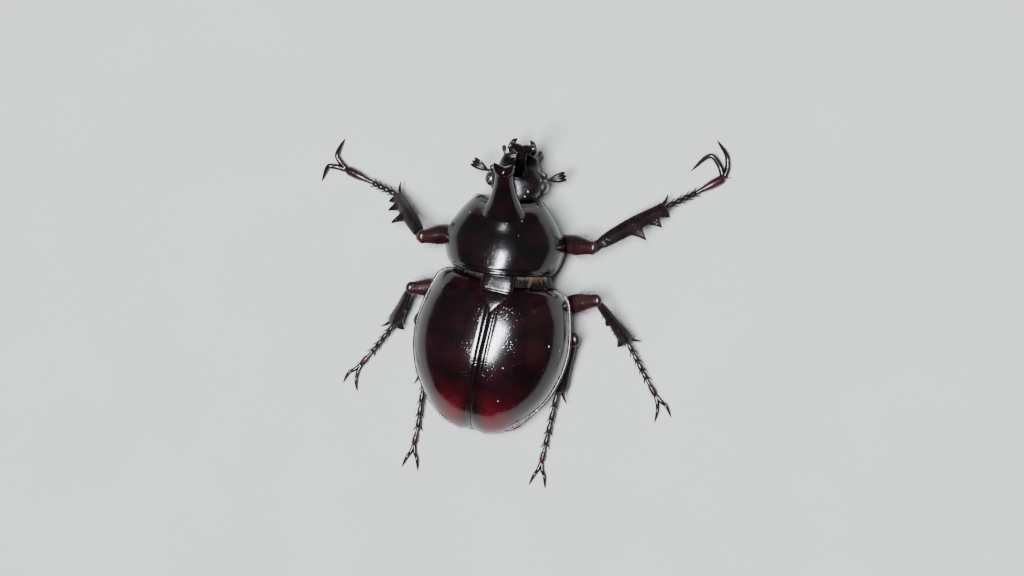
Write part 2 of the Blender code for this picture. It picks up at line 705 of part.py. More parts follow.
def centre_on_floor(pieces):
    """Moves the root so that the origin is the middle of the floor plan."""
    for axis in (0, 1):
        places = [corner.co[axis] for piece in pieces for corner in piece.data.vertices]
        root.location[axis] = -(min(places) + max(places)) / 2


def main():
    scutellum = make_scutellum(make_elytra())
    make_abdomen()
    make_pygidium()
    metasternum = make_metasternum()
    bend_at_waist()
    make_mesothorax(scutellum)
    pronotum = make_pronotum()
    make_pronotal_horn(pronotum)
    head = make_head()
    make_eyes(head)
    make_head_horn(head)
    make_mouthparts()
    make_antennae()
    make_room(head, pronotum, 0.2)
    bodies = {"fore": make_prosternum(), "middle": metasternum, "hind": metasternum}
    for leg in LEGS:
        make_leg(leg, bodies[leg.split("_")[0]])
    to_metres()
    pieces = [piece for piece in beetle.objects if piece is not root]
    for piece in pieces:
        shade(piece)
    centre_on_floor(pieces)


clear_scene()
beetle = new_collection("rhinoceros_beetle")
cutters = new_collection("cutters")
cutters.hide_render = True
root = bpy.data.objects.new("root", None)
beetle.objects.link(root)
main()
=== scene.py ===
"""A rhinoceros beetle as a life-size museum model: shell plates, horns, legs and hair over a fixed frame.

Shapes are worked out in millimetres in the beetle's own frame, with the waist at Y = 0, the head towards +Y
and the floor at Z = 0. A finished piece is then put in its place, in metres.
"""

import bisect
import math
import random

import bmesh
import bpy
from mathutils import Matrix, Vector, noise


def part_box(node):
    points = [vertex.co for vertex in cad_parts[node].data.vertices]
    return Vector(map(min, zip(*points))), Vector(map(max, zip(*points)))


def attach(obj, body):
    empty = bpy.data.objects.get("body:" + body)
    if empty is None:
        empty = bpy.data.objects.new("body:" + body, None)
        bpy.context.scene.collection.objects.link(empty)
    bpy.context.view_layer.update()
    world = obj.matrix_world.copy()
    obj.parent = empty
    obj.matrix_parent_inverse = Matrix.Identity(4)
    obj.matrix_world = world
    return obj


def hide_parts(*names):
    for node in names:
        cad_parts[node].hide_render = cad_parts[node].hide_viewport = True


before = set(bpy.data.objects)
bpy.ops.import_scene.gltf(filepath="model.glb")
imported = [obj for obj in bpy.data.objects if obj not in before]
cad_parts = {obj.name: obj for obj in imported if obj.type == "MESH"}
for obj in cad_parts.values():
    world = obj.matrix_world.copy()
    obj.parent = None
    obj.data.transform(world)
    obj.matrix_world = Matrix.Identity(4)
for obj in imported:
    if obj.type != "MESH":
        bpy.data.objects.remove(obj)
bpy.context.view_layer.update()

MM = 0.001
PRONOTUM_FRONT = 12.4
neck_low, neck_high = (Vector(corner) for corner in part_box("pronotum"))
WAIST = Vector(((neck_low.x + neck_high.x) / 2, neck_high.y - PRONOTUM_FRONT * MM, 0.0))
TO_PLACE = Matrix.Translation(WAIST) @ Matrix.Scale(MM, 4)
UP = Vector((0, 0, 1))
SOLE = 0.02  # level of the feet, just above the floor
HAIR_SIDES = 3
HAIR_LEVELS = 4
SIDES = ((1, "right"), (-1, "left"))


# ---- Curves and sections ----


def evenly(start, end, count):
    """Numbers from start to end in equal steps."""
    return [start + (end - start) * i / (count - 1) for i in range(count)]


def power(value, exponent):
    """Power of a number's size, with its sign kept."""
    return math.copysign(abs(value) ** exponent, value)


def swell(distance, reach):
    """Soft rise: 1 in the middle and 0 from its reach outwards."""
    share = abs(distance) / reach
    return (1 - share * share) ** 2 if share < 1 else 0.0


def ease(low, high, value):
    """0 below low, 1 above high, and a soft step between."""
    share = min(1.0, max(0.0, (value - low) / (high - low)))
    return share * share * (3 - 2 * share)


def along(table, where):
    """Value at a place of a table of (place, value) rows, on a smooth curve that doesn't overshoot."""
    places, values = zip(*table)
    where = min(max(where, places[0]), places[-1])
    rises = [(b - a) / (q - p) for a, b, p, q in zip(values, values[1:], places, places[1:])]
    tilts = [rises[0]]
    for before, after in zip(rises, rises[1:]):
        tilts.append(2 * before * after / (before + after) if before * after > 0 else 0.0)
    tilts.append(rises[-1])
    i = min(max(bisect.bisect_right(places, where) - 1, 0), len(rises) - 1)
    span = places[i + 1] - places[i]
    t = (where - places[i]) / span
    start = values[i] * (1 + 2 * t) * (1 - t) ** 2 + span * tilts[i] * t * (1 - t) ** 2
    return start + values[i + 1] * t * t * (3 - 2 * t) + span * tilts[i + 1] * t * t * (t - 1)


def profile(*rows):
    """A curve through (share, value) rows, as a function of the share."""
    return lambda share: along(rows, share)


def smooth_path(spots, count):
    """Evenly shared points on a smooth curve through the spots."""
    spots = [Vector(spot) for spot in spots]
    lengths = [0.0]
    for a, b in zip(spots, spots[1:]):
        lengths.append(lengths[-1] + (b - a).length)
    tables = [[(length, spot[axis]) for length, spot in zip(lengths, spots)] for axis in range(3)]
    return [Vector([along(table, s) for table in tables]) for s in evenly(0, lengths[-1], count)]


def arch_ring(y, half_width, edge, top, floor, over=2.3, under=2.3, bow=0.0, count=96):
    """Cross-section of the body at y: an arch over the side edge and another under it."""
    ring = []
    for k in range(count):
        angle = 2 * math.pi * k / count
        across, up = math.cos(angle), math.sin(angle)
        square = over if up >= 0 else under
        rise = top - edge if up >= 0 else edge - floor
        side = power(across, 2 / square)
        height = edge + rise * power(up, 2 / square)
        ring.append(Vector((half_width * side, y - bow * (1 - side * side), height)))
    return ring


# ---- Making and finishing a piece ----


def skin(rings, capped=True):
    """Skin through rings of points: a circle laid on the first is extruded on to each of the others."""
    bm = bmesh.new()
    loop = bmesh.ops.create_circle(bm, segments=len(rings[0]), radius=1)["verts"]
    number = {corner: i for i, corner in enumerate(loop)}
    for corner, i in number.items():
        corner.co = rings[0][i]
    first = edges = bm.edges[:]
    for ring in rings[1:]:
        drawn = bmesh.ops.extrude_edge_only(bm, edges=edges)["geom"]
        edges = [item for item in drawn if isinstance(item, bmesh.types.BMEdge)]
        fresh = {}
        for corner in drawn:
            if isinstance(corner, bmesh.types.BMVert):
                roots = [edge.other_vert(corner) for edge in corner.link_edges]
                fresh[corner] = next(number[root] for root in roots if root in number)
                corner.co = ring[fresh[corner]]
        number = fresh
    if capped:
        bmesh.ops.edgeloop_fill(bm, edges=first)
        bmesh.ops.edgeloop_fill(bm, edges=edges)
    bmesh.ops.recalc_face_normals(bm, faces=bm.faces)
    return bm


def limb_frames(path, wide):
    """Each point of a path, with the ways across and up there; across is kept near the wide direction."""
    frames = []
    for i, spot in enumerate(path):
        forward = (path[min(i + 1, len(path) - 1)] - path[max(i - 1, 0)]).normalized()
        across = (wide - wide.dot(forward) * forward).normalized()
        frames.append((spot, across, forward.cross(across)))
    return frames


def tube(path, radius_at, wide=(0, 0, 1), flat=1.0, sides=20, shape=None):
    """Closed skin round a path; radius_at(share) is half its width, and shape(angle) bends the section."""
    wide = Vector(wide)
    rings = []
    for i, (spot, across, up) in enumerate(limb_frames(path, wide)):
        share = i / (len(path) - 1)
        radius = radius_at(share)
        ring = []
        for k in range(sides):
            angle = 2 * math.pi * k / sides
            swollen = radius * (shape(angle, share) if shape else 1.0)
            ring.append(spot + swollen * (math.cos(angle) * across + flat * math.sin(angle) * up))
        rings.append(ring)
    return skin(rings)


def blob(centre, size, turn, rings):
    """Ball stretched to half-sizes and turned by degrees about the vertical."""
    bm = bmesh.new()
    bmesh.ops.create_uvsphere(bm, u_segments=2 * rings, v_segments=rings, radius=1)
    place = Matrix.Translation(Vector(centre)) @ Matrix.Rotation(math.radians(turn), 4, "Z")
    bm.transform(place @ Matrix.Diagonal((*size, 1)))
    return bm


def add_to(bm, other):
    """Moves all of another piece's skin into this one."""
    mesh = bpy.data.meshes.new("part")
    other.to_mesh(mesh)
    other.free()
    bm.from_mesh(mesh)
    bpy.data.meshes.remove(mesh)
    return bm


def placed(name, data):
    """Puts a mesh, lamp or camera in the scene."""
    item = bpy.data.objects.new(name, data)
    bpy.context.scene.collection.objects.link(item)
    return item


def finished(name, bm, finish, slot, *nodes, edges=50):
    """Puts a skin in its place as a piece of the model, which stands for the frame's nodes."""
    bm.transform(TO_PLACE)
    mesh = bpy.data.meshes.new(name)
    bm.to_mesh(mesh)
    bm.free()
    mesh.materials.append(finish)
    mesh.shade_smooth()
    mesh.set_sharp_from_angle(angle=math.radians(edges))
    piece = placed(name, mesh)
    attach(piece, "root")
    if nodes:
        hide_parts(*nodes)


# ---- Finishes ----


class Wire:
    """An output of a shader node, on which sums are written as on a plain number."""

    def __init__(self, finish, socket):
        self.finish = finish
        self.socket = socket

    def sum(self, operation, *values):
        return self.finish.node("ShaderNodeMath", {"operation": operation}, dict(enumerate(values)))

    def __add__(self, other):
        return self.sum("ADD", self, other)

    def __sub__(self, other):
        return self.sum("SUBTRACT", self, other)

    def __rsub__(self, other):
        return self.sum("SUBTRACT", other, self)

    def __mul__(self, other):
        return self.sum("MULTIPLY", self, other)

    def __abs__(self):
        return self.sum("ABSOLUTE", self)

    __radd__ = __add__
    __rmul__ = __mul__


class Finish:
    """The surface of a piece: a shader's fixed settings, and the nodes that vary it over the piece."""

    def __init__(self, name, **fixed):
        self.material = bpy.data.materials.new(name)
        self.material.use_nodes = True
        self.tree = self.material.node_tree
        self.shader = self.tree.nodes["Principled BSDF"]
        for label, value in fixed.items():
            self.shader.inputs[label.replace("_", " ")].default_value = value

    def node(self, kind, settings, sockets, output=0):
        """Adds a node: its settings first, then the values or wires of its sockets."""
        made = self.tree.nodes.new(kind)
        for label, value in settings.items():
            setattr(made, label, value)
        for label, value in sockets.items():
            if isinstance(value, Wire):
                self.tree.links.new(value.socket, made.inputs[label])
            else:
                made.inputs[label].default_value = value
        return Wire(self, made.outputs[output])

    def set(self, label, wire):
        self.tree.links.new(wire.socket, self.shader.inputs[label])

    def spot(self, turn=0.0, about=(0, 0, 0), shift=0.0):
        """Place on the beetle in millimetres, in the frame of a body part turned about a point."""
        back = Matrix.Rotation(-turn, 3, "Z")
        middle = Vector(about)
        origin = middle - back @ (middle + Vector((shift, 0, 0)) + WAIST / MM)
        where = self.node("ShaderNodeTexCoord", {}, {}, "Object")
        sockets = {"Vector": where, "Location": origin, "Rotation": (0, 0, -turn), "Scale": [1 / MM] * 3}
        return self.node("ShaderNodeMapping", {}, sockets)

    def axes(self, spot):
        return [self.node("ShaderNodeSeparateXYZ", {}, {0: spot}, axis) for axis in "XYZ"]

    def grain(self, spot, scale, detail=2.0):
        return self.node("ShaderNodeTexNoise", {}, {"Vector": spot, "Scale": scale, "Detail": detail})

    def cells(self, spot, scale):
        return self.node("ShaderNodeTexVoronoi", {}, {"Vector": spot, "Scale": scale}, "Distance")

    def step(self, value, low, high):
        """0 at low, 1 at high, with a soft step between."""
        settings = {"interpolation_type": "SMOOTHSTEP"}
        return self.node("ShaderNodeMapRange", settings, {0: value, 1: low, 2: high, 3: 0.0, 4: 1.0})

    def blend(self, factor, first, second):
        """Colour that goes from the first to the second as the factor goes from 0 to 1."""
        settings = {"data_type": "RGBA", "clamp_factor": True}
        pair = [value if isinstance(value, Wire) else (*value, 1.0) for value in (first, second)]
        return self.node("ShaderNodeMix", settings, {0: factor, 6: pair[0], 7: pair[1]}, 2)

    def relief(self, height, depth):
        """Bumps of a depth in millimetres where the height goes from 0 to 1."""
        sockets = {"Height": height, "Distance": depth * MM, "Strength": 1.0}
        return self.node("ShaderNodeBump", {}, sockets, "Normal")


def pits_and_grain(finish, spot, spacing, fine):
    """Punctures of the shell at a spacing in millimetres, and a fine unevenness between them."""
    pits = finish.step(finish.cells(spot, 1 / spacing), 0.16, 0.42)
    patchy = finish.step(finish.grain(spot, 0.35), 0.35, 0.62)
    return 1 - (1 - pits) * patchy, finish.grain(spot, 1 / fine, 3.0)


def dust_and_glints(finish, spot, colour, amount):
    """Scattered pale specks over a colour: partly grains of dirt, partly painted glints of light on grains
    and droplets.
    """
    # Pale specks: some are dirt grains, some are painted glints of light.
    close = 1 - finish.step(finish.cells(spot, 0.6), 0.035, 0.1)
    rare = finish.step(finish.grain(spot, 0.9), 0.5, 0.56)
    return finish.blend(close * rare * amount, colour, (0.5, 0.5, 0.52))


def wing_case_finish():
    """Glossy wine-dark shell that turns red towards its rear end, partly its own red and partly painted light
    from a lamp behind; black along its seam.
    """
    finish = Finish("wine_dark_wing_case", Coat_Weight=0.12, Coat_Roughness=0.05, IOR=1.42)
    spot = finish.spot(HIND_YAW, HIND_MIDDLE, HIND_SHIFT)
    across, forward, up = finish.axes(spot)
    beside = abs(across)
    mottle = finish.grain(spot, 0.3, 3.0)
    # Red towards the rear end beside the seam: partly the shell's own red, partly painted light where a lamp
    # from behind lit the rear slope.
    rear = finish.step(forward, -14.6, -20.8)
    off_seam = finish.step(beside, 0.4, 2.6)
    inner = 1 - finish.step(beside, 3.8, 7.2)
    rear_red_and_painted_light = rear * off_seam * (0.2 + 0.8 * inner) * (0.7 + 0.3 * finish.step(mottle, 0.2, 0.6))
    base = finish.blend(finish.step(mottle, 0.3, 0.75), (0.0025, 0.0009, 0.0013), (0.0085, 0.0016, 0.0024))
    base = finish.blend(finish.step(up, 12.0, 9.2) * 0.7, base, (0.009, 0.0024, 0.003))
    base = finish.blend(rear_red_and_painted_light, base, (0.05, 0.0018, 0.0044))
    seam = 1 - finish.step(beside, 0.02, 0.2)
    base = finish.blend(seam * 0.9, base, (0.004, 0.003, 0.003))
    pits, fine = pits_and_grain(finish, spot, 0.36, 0.1)
    finish.set("Base Color", dust_and_glints(finish, spot, base, 0.9))
    finish.set("Roughness", 0.1 + 0.05 * (1 - pits) + 0.08 * fine)
    finish.set("Normal", finish.relief(pits + 0.3 * fine, 0.011))
    return finish.material


def black_shell_finish(name, dark, warm, spacing=0.3, depth=0.008, rough=0.12, shine=0.5):
    """Polished near-black shell with a warm cast, finely pitted in patches."""
    finish = Finish(name, Coat_Weight=0.24 * shine, Coat_Roughness=0.05, IOR=1.42, Specular_IOR_Level=shine)
    spot = finish.spot()
    mottle = finish.grain(spot, 0.35, 3.0)
    pits, fine = pits_and_grain(finish, spot, spacing, 0.08)
    base = finish.blend(finish.step(mottle, 0.35, 0.7), dark, warm)
    finish.set("Base Color", dust_and_glints(finish, spot, base, 0.8))
    finish.set("Roughness", rough + 0.06 * (1 - pits) + 0.1 * fine)
    finish.set("Normal", finish.relief(pits + 0.25 * fine, depth))
    return finish.material


def leg_finish(name, dark, warm):
    """Red-brown horn of the legs, darker and warmer in patches, with scattered hair pits that hold painted
    shade.
    """
    finish = Finish(name, Coat_Weight=0.1, Coat_Roughness=0.1, IOR=1.42)
    spot = finish.spot()
    mottle = finish.grain(spot, 0.5, 3.0)
    pits, fine = pits_and_grain(finish, spot, 0.45, 0.12)
    base = finish.blend(finish.step(mottle, 0.3, 0.7), dark, warm)
    # Painted shade: the colour is darker inside the pits, as if shade fell in them.
    finish.set("Base Color", finish.blend(0.4 * (1 - pits), base, (0.004, 0.002, 0.002)))
    finish.set("Roughness", 0.24 + 0.1 * (1 - pits) + 0.12 * fine)
    finish.set("Normal", finish.relief(pits + 0.3 * fine, 0.03))
    return finish.material


def eye_finish():
    """Black compound eye: a close net of facets under a clear gloss."""
    finish = Finish("faceted_eye", Coat_Weight=1.0, Coat_Roughness=0.03, Specular_IOR_Level=0.7)
    spot = finish.spot()
    facets = finish.step(finish.cells(spot, 11.0), 0.55, 0.2)
    finish.set("Base Color", finish.blend(facets, (0.002, 0.0015, 0.001), (0.014, 0.009, 0.006)))
    finish.set("Roughness", 0.3 - 0.12 * facets)
    finish.set("Normal", finish.relief(facets, 0.012))
    return finish.material


def hair_finish(name, root, tip):
    """Stiff silky hair, a little lighter in places."""
    finish = Finish(name, Sheen_Weight=0.2, Specular_IOR_Level=0.4)
    spot = finish.spot()
    finish.set("Base Color", finish.blend(finish.grain(spot, 1.6), root, tip))
    finish.set("Roughness", 0.42 + 0.2 * finish.grain(spot, 6.0))
    return finish.material


def floor_finish():
    """Pale matt plaster."""
    finish = Finish("pale_plaster")
    spot = finish.spot()
    tint = finish.blend(finish.grain(spot, 0.05, 4.0), (0.325, 0.318, 0.304), (0.36, 0.35, 0.335))
    finish.set("Base Color", tint)
    finish.set("Roughness", 0.82 + 0.1 * finish.grain(spot, 0.4))
    return finish.material


# ---- Hind body ----

HIND_MIDDLE = (0.0, -9.2, 0.0)
HIND_SHIFT = -0.16
HIND_YAW = math.radians(-5.5)
ELYTRA_FRONT = 0.6
ELYTRA_END = -22.5
ELYTRA_WIDEST = -9.5
REAR_START = -17.0  # from here the rings draw together towards the rear end
ELYTRA_OUTLINE = (
    (-22.5, 2.0), (-22.0, 3.8), (-21.4, 5.1), (-20.5, 6.3), (-19.2, 7.6), (-17.1, 9.2), (-15.2, 10.3),
    (-13.0, 11.1), (-11.0, 11.55), (-8.5, 11.75), (-6.0, 11.5), (-3.5, 10.95), (-1.0, 10.2),
    (0.0, 9.4), (ELYTRA_FRONT, 8.2),
)
CROWN = 8.5
SHOULDER_CROWN = 6.8
ELYTRA_BOW = 1.2
SKIRT = 0.9
RIM = 0.26
CHEST_FRONT = -0.6
SEAM = 0.02
BEAD_AT = 0.42
GROOVE_AT = 0.86
BELLY_Z = 3.3
PYGIDIUM_MIDDLE = (0, -19.2, 5.35)
PYGIDIUM_SIZE = (7.2, 3.2, 1.9)


def behind_waist(point):
    """A point of the hind body's own frame, put where the sideways bend at the waist takes it."""
    middle = Vector(HIND_MIDDLE)
    turn = Matrix.Rotation(HIND_YAW, 3, "Z")
    return middle + Vector((HIND_SHIFT, 0, 0)) + turn @ (Vector(point) - middle)


def hind_edge(y):
    """Height of the wing cases' side edge."""
    return 8.4 + 0.04 * y


def under_skirt(y, drop=0.1):
    """Height a little below the wing cases' turned-in skirt."""
    return hind_edge(y) - SKIRT - drop


def wing_case_width(y):
    """Half the width of both wing cases together."""
    return along(ELYTRA_OUTLINE, y)


def wing_case_crown(y):
    """Height of the arch over the side edge; it falls off towards the shoulder and the rear end."""
    if y > ELYTRA_WIDEST:
        return CROWN - (CROWN - SHOULDER_CROWN) * (1 - y / ELYTRA_WIDEST) ** 2
    back = (ELYTRA_WIDEST - y) / (ELYTRA_WIDEST - ELYTRA_END)
    return CROWN * max(0.0, 1 - back**2.2) ** 0.6


def wing_case_detail(x, y):
    """Height of the raised bead and groove beside the seam, and of the shoulder and rear swellings."""
    fade = ease(-22.2, -19.5, y)
    beside_seam = 0.045 * swell(x - BEAD_AT, 0.36) - 0.035 * swell(x - GROOVE_AT, 0.3)
    shoulder = 0.45 * swell(math.hypot(x - 7.4, 1.2 * (y + 2.4)), 2.4)
    rear = 0.35 * swell(math.hypot(x - 5.6, y + 17.6), 2.8)
    return fade * beside_seam + shoulder + rear


def wing_case_ring(y, side, shrink):
    """Closed section of one wing case: seam wall, arch, rolled rim, turned-in skirt and underside."""
    width = wing_case_width(y) - shrink
    crown = wing_case_crown(y) - 1.2 * shrink
    edge, skirt = hind_edge(y), SKIRT * min(1.0, wing_case_crown(y))
    base, reach = edge + 0.3, width - 1.6 * RIM
    section = [(SEAM, base + crown - 1.1), (SEAM, base + crown - 0.45)]
    for share in evenly(0, 1, 64):
        angle = math.pi / 2 * (1 - share**1.7)
        x = SEAM + (reach - SEAM) * power(math.cos(angle), 2 / 2.25)
        z = base + (crown - 0.3) * power(math.sin(angle), 2 / 2.25)
        rounded = 0.14 * max(0.0, 1 - (x - SEAM) / 0.12) ** 2
        section.append((x, z + wing_case_detail(x, y) * min(1.0, crown / 2) - rounded))
    for angle in evenly(125, -80, 10):
        rise = math.radians(angle)
        section.append((width - RIM + RIM * math.cos(rise), edge + 0.12 + RIM * math.sin(rise)))
    section.append((width - 1.3 * RIM, edge - 0.6 * skirt))
    section.append((width - 2.2 * RIM, edge - skirt))
    for share in (0.75, 0.5, 0.25, 0.0):
        section.append((SEAM + (width - 2.2 * RIM - SEAM) * share, edge - skirt + 0.15))
    front_bow = ELYTRA_BOW * max(0.0, 1 + (y - ELYTRA_FRONT) / 4)
    lobe = 0.55 * ease(-19.5, -22.3, y) if y < -19.5 else 0.0
    ring = []
    for x, z in section:
        bowed = y - front_bow * (1 - (x / width) ** 2) + lobe * max(0.0, 1 - x / 2.7) ** 2
        ring.append(behind_waist((side * x, bowed, z)))
    return ring


def make_wing_cases(finish):
    """Both wing cases: rings run close together at the rolled front edge and the rounded rear end."""
    front = [(0.6, 0.75), (0.58, 0.45), (0.48, 0.2), (0.32, 0.06), (0.1, 0.0)]
    body = [(y, 0.0) for y in evenly(-0.25, REAR_START, 44)]
    length = ELYTRA_END + 0.03 - REAR_START
    rear = [(REAR_START + length * math.sin(math.pi / 2 * i / 30), 0.0) for i in range(1, 31)]
    for side, suffix in SIDES:
        rings = [wing_case_ring(y, side, shrink) for y, shrink in (*front, *body, *rear)]
        finished(f"elytron_{suffix}", skin(rings), finish, "red_shell", f"elytron_{suffix}")


SCUTELLUM_OUTLINE = ((-4.5, 0.1), (-4.2, 0.5), (-1.9, 2.25), (-1.2, 2.45), (0.2, 2.3), (1.0, 2.2))
SCUTELLUM_TOP = ((-4.4, 16.2), (-1.9, 15.75), (-1.2, 15.63), (0.2, 15.5), (1.0, 15.38))


def make_scutellum(finish):
    """Shield between the wing cases: a smooth base, a cross groove and a rounded, bordered triangle."""
    rings = []
    for y in evenly(1.0, -4.45, 44):
        half_width = along(SCUTELLUM_OUTLINE, y)
        top = along(SCUTELLUM_TOP, y) - 0.22 * swell(y + 1.55, 0.35) + 0.1 * swell(y + 3.0, 1.5)
        ring = arch_ring(y, half_width, top - 0.3, top + 0.12, top - 1.3, 3.0, 5.0, 0.0, 48)
        rings.append([behind_waist(point) for point in ring])
    finished("scutellum", skin(rings), finish, "dark_shell", "scutellum")


# Half width, edge, top and floor, and how square the section is over and under its edge
COLLAR = (7.3, 8.3, 14.3, 7.5, 2.2, 2.4)


def make_collar(finish):
    """Narrow collar between the pronotum and the wing cases."""
    rings = []
    for share in evenly(0, 1, 8):
        front = arch_ring(1.6 - 0.9 * share, *COLLAR, 0.8 + 0.4 * share, 80)
        rings.append([point.lerp(behind_waist(point), share) for point in front])
    finished("collar", skin(rings), finish, "dark_shell", "mesothorax")


PLATES = (-10.6, -12.5, -14.3, -16.1, -17.9, -20.2)  # where the abdomen's rings meet


def belly_floor(y):
    """Height of the underside, where each ring of the abdomen overlaps the next one."""
    level = along(((-20.6, 4.0), (-17.0, 3.5), (-10.6, BELLY_Z)), y)
    for start, end in zip(PLATES, PLATES[1:]):
        if end < y <= start:
            return level + 0.3 * ((start - y) / (start - end)) ** 2 - 0.06
    return level


def make_abdomen(finish):
    """Belly of five overlapping rings."""
    rings = []
    for start, end in zip(PLATES, PLATES[1:]):
        for share in (0.0, 0.05, 0.3, 0.6, 0.85, 0.97):
            y = start + (end - start) * share
            top = under_skirt(y)
            width = 0.93 * wing_case_width(y) - (0.14 if share in (0.0, 0.97) else 0.0)
            rise = 0.28 if share == 0.0 else 0.0
            ring = arch_ring(y, width, top - 0.7, top, belly_floor(y) + rise, 6.0, 2.2)
            rings.append([behind_waist(point) for point in ring])
    finished("abdomen", skin(rings), finish, "belly_shell", "abdomen", edges=40)


def make_pygidium(finish):
    """Domed, hairy plate that closes the rear end."""
    bm = blob(PYGIDIUM_MIDDLE, PYGIDIUM_SIZE, 0.0, 32)
    for cut, way in (((0, 0, under_skirt(ELYTRA_END)), (0, 0, 1)), ((0, PLATES[-1], 0), (0, 1, 0))):
        geometry = [*bm.verts, *bm.edges, *bm.faces]
        bmesh.ops.bisect_plane(bm, geom=geometry, plane_co=cut, plane_no=way, clear_outer=True)
        bmesh.ops.holes_fill(bm, edges=[edge for edge in bm.edges if edge.is_boundary])
    bmesh.ops.poke(bm, faces=[face for face in bm.faces if len(face.verts) > 4])
    for corner in bm.verts:
        corner.co = behind_waist(corner.co)
    bmesh.ops.recalc_face_normals(bm, faces=bm.faces)
    finished("pygidium", bm, finish, "red_shell", "pygidium")


def chest_floor(y):
    """Height of the underside between the middle and hind legs."""
    return along(((-10.2, BELLY_Z), (-5.0, 2.9), (CHEST_FRONT, 3.9)), y)


def make_metasternum(finish):
    """Broad underside plate between the middle and hind legs, grooved along its middle."""
    rings = []
    for y in evenly(CHEST_FRONT, -10.2, 36):
        top = under_skirt(y)
        width = 0.9 * wing_case_width(y)
        ring = arch_ring(y, width, top - 0.7, top, chest_floor(y), 6.0, 2.0, 0.0, 112)
        for point in ring:
            if point.z < top - 1.0:
                beside = abs(point.x)
                point.z += 0.35 * swell(beside, 0.7) * ease(-1.0, -3.5, y)
                point.z += 0.2 * swell(y + 7.6 - 0.05 * beside, 0.5) * ease(0.8, 2.5, beside)
        rings.append([behind_waist(point) for point in ring])
    finished("metasternum", skin(rings), finish, "belly_shell", "metasternum")


# ---- Fore body ----

PRONOTUM_REAR = 1.5
PRONOTUM_OUTLINE = (
    (PRONOTUM_REAR, 7.3), (2.4, 8.1), (3.9, 8.6), (5.6, 8.85), (6.8, 8.6), (8.0, 8.1), (9.5, 7.2),
    (10.8, 6.25), (PRONOTUM_FRONT, 4.8),
)
PRONOTUM_TOP = (
    (PRONOTUM_REAR, 15.93), (2.2, 16.02), (3.7, 15.97), (7.5, 15.33), (10.5, 14.25),
    (PRONOTUM_FRONT, 12.3),
)
PRONOTUM_EDGE = 8.3
PRONOTUM_SKIRT = 1.2
REAR_BOW = 0.8
FRONT_BOW = 0.9


def pronotum_edge(y):
    """Height of the pronotum's side edge."""
    return PRONOTUM_EDGE + 0.05 * y


def pronotum_width(y):
    """Half the width of the pronotum."""
    return along(PRONOTUM_OUTLINE, y)


def pronotum_ring(y, sunk):
    """Section of the pronotum, with its rolled side rim and the rise that leads up to the horn."""
    bow = REAR_BOW * max(0.0, 1 - (y - PRONOTUM_REAR) / 3) + FRONT_BOW * max(0.0, (y - 9.0) / 3.4)
    edge = pronotum_edge(y)
    top = along(PRONOTUM_TOP, y) - sunk
    width = pronotum_width(y) - 0.5 * sunk
    ring = arch_ring(y, width, edge, top, edge - PRONOTUM_SKIRT, 2.0, 6.0, bow, 160)
    for point in ring:
        height = point.z - edge
        out = math.copysign(1, point.x)
        if height > -0.6:
            point.x += out * (0.1 * swell(height, 0.3) - 0.16 * swell(height - 0.55, 0.4))
        if height > 2:
            point.z += 0.45 * swell(math.hypot(point.x, y - 10.5), 4.0)
            dips = swell(point.x - 3.2, 2.2) + swell(point.x + 3.2, 2.2)
            point.z -= 0.3 * dips * ease(7.5, 10.5, y)
    return ring


def make_pronotum(finish):
    """Domed shield with a groove behind its rear rim and a bordered front edge."""
    rear = (
        (0.0, 0.55), (0.0, 0.2), (0.06, 0.04), (0.18, 0.0), (0.34, 0.0), (0.46, 0.09), (0.6, 0.09),
        (0.75, 0.01),
    )
    front = ((0.6, 0.06), (0.45, 0.0), (0.2, 0.0), (0.0, 0.12), (0.0, 0.5))
    rings = [pronotum_ring(PRONOTUM_REAR + y, sunk) for y, sunk in rear]
    rings += [pronotum_ring(y, 0.0) for y in evenly(2.4, 11.6, 48)]
    rings += [pronotum_ring(PRONOTUM_FRONT - y, sunk) for y, sunk in front]
    finished("pronotum", skin(rings), finish, "dark_shell", "pronotum")


def make_pronotal_horn(finish):
    """Stout horn that leans forward from a broad foot and splits into two short points."""
    path = smooth_path(((0, 9.3, 13.0), (0, 12.3, 15.7), (0, 15.4, 18.2)), 40)
    widths = profile((0.0, 3.5), (0.16, 2.95), (0.32, 2.4), (0.52, 1.9), (0.75, 1.5), (1.0, 1.3))

    def ridged(angle, share):
        return 1 - 0.07 * math.cos(2 * angle) * share + 0.05 * swell(math.cos(angle), 0.4) * share

    horn = tube(path, widths, (1, 0, 0), 0.74, 48, ridged)
    half_bow = ((1.35, 16.5, 19.85), (0.85, 15.8, 18.9))
    bow = (*((-x, y, z) for x, y, z in half_bow), (0, 15.3, 18.25), *reversed(half_bow))
    fork = profile((0.0, 0.1), (0.12, 0.42), (0.3, 0.8), (0.5, 1.05), (0.7, 0.8), (0.88, 0.42), (1.0, 0.1))
    add_to(horn, tube(smooth_path(bow, 31), fork, (0, 0.6, 0.8), 0.9, 28))
    finished("pronotal_horn", horn, finish, "dark_shell", "pronotal_horn")


def fore_chest_floor(y):
    """Height of the underside of the fore body."""
    return along(((0.9, 4.2), (5.5, 3.4), (9.0, 4.0), (11.7, 5.6)), y)


def make_prosternum(finish):
    """Underside of the fore body, with a knob behind the forelegs; it reaches back to the hind body."""
    rings = []
    for y in evenly(0.9, 11.7, 30):
        top = pronotum_edge(y) - PRONOTUM_SKIRT - 0.1
        floor = fore_chest_floor(y) - 0.5 * swell(y - 3.6, 1.0)
        ring = arch_ring(y, 0.88 * pronotum_width(y), top - 0.6, top, floor, 6.0, 2.0)
        for point in ring:
            if point.z < top - 1.0:
                point.z += 0.3 * (1 - swell(point.x, 1.5)) * swell(y - 3.6, 1.2)
        rings.append(ring)
    meeting = CHEST_FRONT + 0.12
    rings.insert(0, [Vector((x, behind_waist((x, meeting, z)).y, z)) for x, _, z in rings[0]])
    finished("prosternum", skin(rings), finish, "belly_shell", "prosternum")


# ---- Head ----

